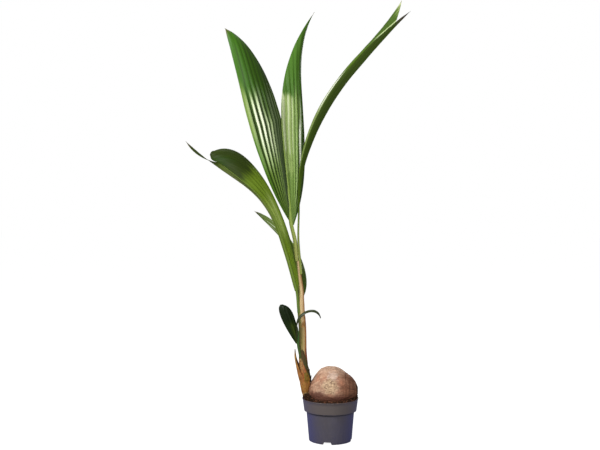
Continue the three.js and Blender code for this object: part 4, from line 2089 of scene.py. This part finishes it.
RIGHT_FAR = LeafPaint(
    "right far",
    leafy(78, 104, 36),
    leafy(86, 112, 42),
    tints(
        leafy,
        # Painted highlight (this row): the pale sliver along the fold, low down.
        ((196, 204, 162), ALL, (0.1, 0.55), 0.8, (0.7, 0.06)),
        ((58, 76, 30), (-9, 1.6), (0.5, 0.94), 0.8, (0.5, 0.05)),
        ((60, 84, 28), (-9, 4.2), (0.74, 0.93), 0.75, (0.3, 0.04)),
        # Painted highlight (this row): the pale line by the rib near the tip.
        ((186, 202, 148), (4.3, 99), (0.79, 0.96), 0.85, (0.15, 0.03)),
        ((150, 168, 98), (1.5, 99), (0.95, 9), 0.7, (0.7, 0.02)),
    ),
    tip=leafy(176, 184, 132),
    tip_from=0.98,
)
ARCHING_BROAD = LeafPaint(
    "arching broad",
    leafy(106, 130, 42),
    leafy(112, 136, 48),
    tints(
        leafy,
        ((74, 92, 34), (-9, 1.0), (0.2, 0.75), 0.6, (0.5, 0.1)),
        # Painted highlights (these two rows): the pale sheen and the glints of the middle.
        ((150, 170, 86), (2.2, 99), (0.34, 0.56), 0.8, (0.7, 0.06)),
        ((190, 202, 142), (3.0, 3.8), (0.3, 0.56), 0.6, (0.2, 0.06), (0.45, 0.15)),
        # Painted shade (these two rows): the tip part, curving over and turned away from the light.
        ((42, 52, 16), ALL, (0.73, 9), 0.97, (0.7, 0.04)),
        ((42, 70, 22), (2.6, 99), (0.86, 9), 0.6, (0.9, 0.05)),
        ((54, 64, 14), (-9, 1.2), (0.13, 0.32), 0.8, (0.5, 0.05)),
    ),
    tip_from=1.2,
    gloss=0.14,
)
ARCHING_NARROW = LeafPaint(
    "arching narrow",
    leafy(104, 124, 52),
    leafy(116, 136, 60),
    tints(
        leafy,
        ((146, 156, 100), (-9, 1.2), (0.4, 0.75), 0.6, (0.4, 0.08)),
        ((50, 60, 30), ALL, (0.8, 9), 0.95, (0.7, 0.05)),
    ),
)
BACK = LeafPaint(
    "back",
    leafy(92, 114, 46),
    leafy(104, 126, 58),
    tints(
        leafy,
        ((60, 76, 32), ALL, (-9, 0.45), 0.85, (0.7, 0.08)),
        # Painted highlights (this row): pale stripes on the pleats.
        ((200, 210, 176), (0.5, 99), (0.62, 0.84), 0.8, (0.3, 0.05), (0.45, 0.16)),
        ((60, 70, 36), ALL, (0.92, 9), 0.9, (0.7, 0.04)),
    ),
)
SMALL_BROAD = LeafPaint(
    "small broad",
    leafy(38, 50, 30),
    leafy(42, 54, 32),
    tints(
        leafy,
        ((68, 82, 34), (1.6, 3.2), (-9, 0.5), 0.75, (0.5, 0.12)),
        ((34, 42, 30), ALL, (0.5, 9), 0.7, (0.8, 0.12)),
    ),
    tip_from=1.2,
    roughness=0.34,
)
SMALL_THIN = LeafPaint(
    "small thin", leafy(60, 68, 44), leafy(66, 74, 48), tip_from=1.2, roughness=0.36
)

LEAVES = (
    Leaf(
        "upright_leaf",
        ((-135, 0, 743), (-142, 12, 860), (-162, 20, 979), (-168, 14, 1097)),
        (
            LeafHalf(
                "left_half",
                ((-138, 0, 742), (-262, -60, 945), (-291, -95, 1163), (-354, -70, 1389)),
                9, 0.18, UPRIGHT_LEFT, ((-197, 2, 1204), (-251, -50, 1347)),
                flattened=0.85, crowding=0.18,
            ),
            LeafHalf(
                "right_half",
                ((-127, 5, 730), (-24, 45, 993), (-167, 75, 1276), (-53, 75, 1480)),
                7, -0.3, UPRIGHT_RIGHT, ((-174, 15, 1228), (-138, 40, 1364)), flattened=0.8,
            ),
        ),
        RecordSlot.LEAF,
        Stalk((-114.5, 3, 606.3), ((-121, 2, 680),), (7.4, 2.2), 40, GREEN_STALK, 2.2),
    ),
    Leaf(
        "right_leaf",
        ((-108, -12, 760), (-127, -60, 1066), (-5, -110, 1218), (206, -155, 1389)),
        (
            LeafHalf(
                "near_half",
                ((-105, -14, 760), (-117, -110, 1045), (80, -175, 1237), (252, -165, 1421)),
                5, -0.12, RIGHT_NEAR, ((220, -158, 1401), (236, -162, 1411)),
            ),
            LeafHalf(
                "far_half",
                ((-105, -14, 760), (-129, -15, 1112), (160, -78, 1340), (227, -135, 1463)),
                5, 0.12, RIGHT_FAR, ((214, -150, 1414), (223, -142, 1438)),
            ),
        ),
        RecordSlot.LEAF,
        Stalk((-103, -7, 606.3), ((-109, -9, 680),), (4.4, 2.2), 40, RIGHT_STALK),
    ),
    Leaf(
        "arching_leaf",
        ((-115, -12, 508), (-187, -40, 759), (-167, -90, 793), (-369, -140, 937)),
        (
            LeafHalf(
                "broad_half",
                ((-110, -12, 508), (-93, -5, 627), (-245, -60, 1071), (-393, -143, 968)),
                6, -0.14, ARCHING_BROAD, ((-388, -142, 938), (-400, -143, 950)),
                tip_width=24, ripple=0.8, flattened=0.93,
            ),
            LeafHalf(
                "narrow_half",
                ((-122, -10, 508), (-228, 20, 905), (-238, -60, 792), (-469, -180, 1001)),
                4, -0.1, ARCHING_NARROW, ((-404, -152, 937), (-449, -168, 959)),
            ),
        ),
        RecordSlot.LEAF,
        Stalk((-109, -8, 452), (), (5.6, 2.4), 18, ARCHING_STALK),
    ),
    Leaf(
        "back_leaf",
        ((-98, 12, 486), (-157, 40, 680), (-117, 80, 637), (-266, 120, 782)),
        (
            LeafHalf(
                "blade",
                ((-92, 12, 486), (-45, 35, 568), (-153, 70, 757), (-266, 120, 782)),
                4, -0.15, BACK,
            ),
        ),
        RecordSlot.LEAF,
    ),
    Leaf(
        "small_leaf",
        ((-110, -12, 328), (-110, -14, 349), (-108, -17, 371), (-114, -20, 392)),
        (
            LeafHalf(
                "broad_half",
                ((-118, -12, 330), (-134, -20, 352), (-198, -50, 458), (-166, -40, 465)),
                4, 0.15, SMALL_BROAD, ((-123, -22, 419), (-129, -30, 462)),
                tip_width=12, ripple=0.5, relief=0.4,
            ),
            LeafHalf(
                "thin_half",
                ((-110, -14, 328), (-139, -50, 420), (-60, -62, 471), (-34, -38, 418)),
                2, -0.05, SMALL_THIN, ((-126, -26, 440), (-35, -32, 473)), tip_width=6, ripple=0.4,
            ),
        ),
        RecordSlot.SMALL_LEAF,
        Stalk((-103, -9, 292), (), (5.8, 2.4), 12, SMALL_STALK),
        thickness=0.5,
    ),
)

CREAM_SHEATH = SheathFinish(
    "cream sheath",
    screen(208, 180, 136),
    screen(184, 152, 104),
    screen(172, 126, 78),
    tints(
        screen,
        ((112, 104, 44), (0.22, 0.3), (2.7, 3.95), 0.9, (0.02, 0.15)),
        ((170, 148, 92), (0.12, 0.215), (2.9, 3.95), 0.8, (0.02, 0.15)),
        ((128, 128, 66), (0.27, 0.73), (2.7, 6.5), 0.9, (0.025, 0.2)),
        ((76, 98, 42), (0.32, 0.68), (2.8, 6.5), 0.95, (0.03, 0.2)),
        ((86, 80, 28), (0.28, 0.37), (2.7, 3.95), 0.85, (0.02, 0.15)),
        ((178, 116, 66), (-0.2, 0.14), (2.6, 6.5), 0.85, (0.03, 0.2)),
        ((150, 96, 56), (0.84, 1.2), (2.6, 6.5), 0.85, (0.03, 0.2)),
    ),
    0.62,
    0.35,
    0.38,
)
BROWN_SHEATH = SheathFinish(
    "brown sheath",
    screen(178, 120, 70),
    screen(144, 88, 48),
    screen(104, 56, 32),
    tints(screen, ((126, 60, 40), ALL, (2.3, 3.1), 0.9, (0.1, 0.15))),
    0.56,
)
ORANGE_SHEATH = SheathFinish(
    "orange sheath",
    screen(176, 114, 58),
    screen(146, 72, 34),
    screen(108, 54, 26),
    tints(
        screen,
        ((150, 122, 76), (0.26, 0.66), (2.36, 3.1), 0.85, (0.04, 0.12)),
        ((148, 114, 54), ALL, (1.3, 1.98), 0.8, (0.1, 0.1)),
        ((100, 98, 20), (0.12, 0.28), (1.98, 2.36), 0.95, (0.03, 0.06)),
        ((96, 66, 32), (-0.2, 0.04), (1.5, 2.6), 0.8, (0.04, 0.2)),
    ),
    0.54,
    0.85,
)
OLIVE_SHEATH = SheathFinish(
    "olive sheath",
    screen(76, 72, 28),
    screen(52, 48, 20),
    screen(54, 38, 18),
    tints(screen, ((82, 58, 28), ALL, (2.7, 3.1), 0.7, (0.1, 0.12))),
)
SHEATH_OUTSIDE = SheathFinish(
    "sheath outside",
    screen(172, 120, 64),
    screen(128, 78, 38),
    screen(98, 58, 28),
    tints(
        screen,
        ((176, 146, 74), ALL, (2.55, 3.0), 0.6, (0.1, 0.15)),
        ((112, 118, 112), ALL, (2.98, 9), 0.9, (0.1, 0.05)),
    ),
)
TORN_SHEATH, SHEATH_INSIDE, WITHERED, ROOT_SKIN = (
    SheathFinish(name, screen(*base), screen(*streak), screen(*stain), stains=stains, roughness=0.6)
    for name, base, streak, stain, stains in (
        ("torn sheath", (196, 150, 90), (162, 114, 62), (88, 58, 32), 0.54),
        ("sheath inside", (88, 40, 24), (60, 28, 18), (46, 24, 14), 0.5),
        ("withered scale", (38, 30, 18), (26, 20, 14), (20, 16, 12), 0.5),
        ("root skin", (150, 128, 84), (112, 84, 54), (70, 48, 30), 0.52),
    )
)

STEM = Stem(
    (
        (-88, -6, 151, 5, 6),
        (-87, -5, 166, 11, 12),
        (-86, -4, 192, 17, 16),
        (-86, -3, 218, 17.5, 16),
        (-91, -2, 251, 14.5, 14),
        (-94, 0, 300, 13, 13),
        (-95, 0, 374, 12.3, 12.5),
        (-99, 0, 430, 12.3, 12),
        (-100.5, 0, 463, 12.2, 12),
        (-101, 0, 511, 9.5, 10),
        (-107.5, 0, 562, 8.6, 9),
        (-111, 0, 606, 8.4, 9),
    ),
    CREAM_SHEATH,
    (
        Wrap(CREAM_SHEATH, 340, 660, (200, 190), (78, 62), 0.7),
        Wrap(BROWN_SHEATH, 236, 420, (-6, -10), (70, 44), 0.8),
        Wrap(TORN_SHEATH, 384, 408, (70, 56), (36, 16), 0.6, 11.0),
        Wrap(OLIVE_SHEATH, 205, 308, (34, 98), (66, 20), 0.9),
        Wrap(ORANGE_SHEATH, 140, 288, (150, 184), (190, 62), 1.1, 14.0),
    ),
    ROOT_SKIN,
    (
        ((-84, -12, 168), (-83, -18, 159), (-81, -22, 149)),
        ((-80, -8, 166), (-75, -13, 160), (-72, -18, 151)),
        ((-86, 4, 168), (-88, 12, 160), (-88, 18, 150)),
        ((-88, -12, 168), (-89, -16, 160), (-89, -20, 150)),
    ),
)

FOOT_SHEATH = DrySheath(
    (
        (-88.5, -7, 168, 6.5, 9),
        (-93.3, -7, 194, 9.2, 12),
        (-101, -6, 221, 9.5, 13),
        (-110, -5, 252, 6.8, 10),
        (-118.5, -4, 282, 3.6, 7),
        (-120.5, -3, 309, 1.4, 2.5),
    ),
    SHEATH_OUTSIDE,
    SHEATH_INSIDE,
)

SCALES = (
    Scale("scale_1", (-70, -9, 200), (-64.5, -9, 222), WITHERED),
    Scale("scale_2", (-75, -9, 219), (-70.5, -9, 243), WITHERED),
)


# Studio


@dataclass(frozen=True)
class Softbox:
    """A square lamp that is aimed at the plant."""

    name: str
    place: Place
    size: float
    power: float
    aim: Place = (-100, 0, 750)

    def build(self) -> None:
        """Hangs the lamp."""
        lamp = bpy.data.lights.new(self.name, "AREA")
        lamp.shape, lamp.size, lamp.energy = "SQUARE", self.size * MM, self.power
        hung = placed(self.name, lamp)
        hung.location = Vector(self.place) * MM
        towards = Vector(self.aim) - Vector(self.place)
        hung.rotation_euler = towards.to_track_quat("-Z", "Y").to_euler()


@dataclass(frozen=True)
class Studio:
    """Pale floor, white surroundings, soft lamps, and the camera where the photographer stood."""

    eye: Place = (-103.6, -2800, 733)
    lens: float = 49.14
    sensor: float = 36
    floor_reach: float = 60
    floor_sides: int = 96
    surround: float = 0.3
    shown: float = 1.0
    lamps: tuple[Softbox, ...] = (
        Softbox("key", (-2200, -1500, 1900), 1100, 70),
        Softbox("front", (240, -2700, 1300), 1500, 50),
        Softbox("top", (0, 300, 3000), 1600, 18, (-60, 0, 300)),
        Softbox("back", (500, 2700, 1200), 1600, 26),
    )
    finish: Finish = StudioFloorFinish()

    def build(self) -> None:
        """Sets up the floor, the surroundings, the lamps and the camera."""
        scene = bpy.context.scene
        scene.view_settings.view_transform = "Standard"
        scene.view_settings.look = "None"
        disc = bpy.data.meshes.new("studio_floor")
        rim = turned([(self.floor_reach, 0)], self.floor_sides)[0]
        disc.from_pydata(rim.tolist(), [], [tuple(range(self.floor_sides))])
        disc.materials.append(self.finish.material())
        floor = placed("studio_floor", disc)
        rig.stage(floor)
        for lamp in self.lamps:
            lamp.build()
        self.surroundings()
        camera = bpy.data.cameras.new("camera")
        camera.lens, camera.sensor_width = self.lens, self.sensor
        stand = placed("camera", camera)
        stand.location = Vector(self.eye) * MM
        stand.rotation_euler = (math.pi / 2, 0, 0)
        scene.camera = stand

    def surroundings(self) -> None:
        """Makes the white surroundings, which light the plant less than they show."""
        world = bpy.data.worlds.new("studio")
        world.use_nodes = True
        bench = NodeBench(world.node_tree)
        strength = bench.plus(bench.times(bench.seen(), self.shown - self.surround), self.surround)
        backdrop = world.node_tree.nodes["Background"]
        bench.feed(backdrop, {"Color": WHITE, "Strength": strength})
        bpy.context.scene.world = world


def write_sizes(path: Path) -> None:
    """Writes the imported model's box and the dressed model's box, as lists of numbers.

    Args:
        path: the file.
    """
    boxes = {"cad": cad_box, "visual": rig.bounds()}
    path.write_text(
        json.dumps({name: [list(corner) for corner in box] for name, box in boxes.items()})
    )


def main() -> None:
    """Builds every sub-assembly from the ground up, then the studio."""
    logging.basicConfig(level=logging.INFO, format="%(name)s: %(message)s")
    pot, nut = NurseryPot(), Coconut()
    for part in (pot, PottingSoil(pot, nut), nut, STEM, FOOT_SHEATH, *SCALES, *LEAVES):
        part.build()
    Studio().build()
    write_sizes(Path("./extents.json"))


if __name__ == "__main__":
    main()
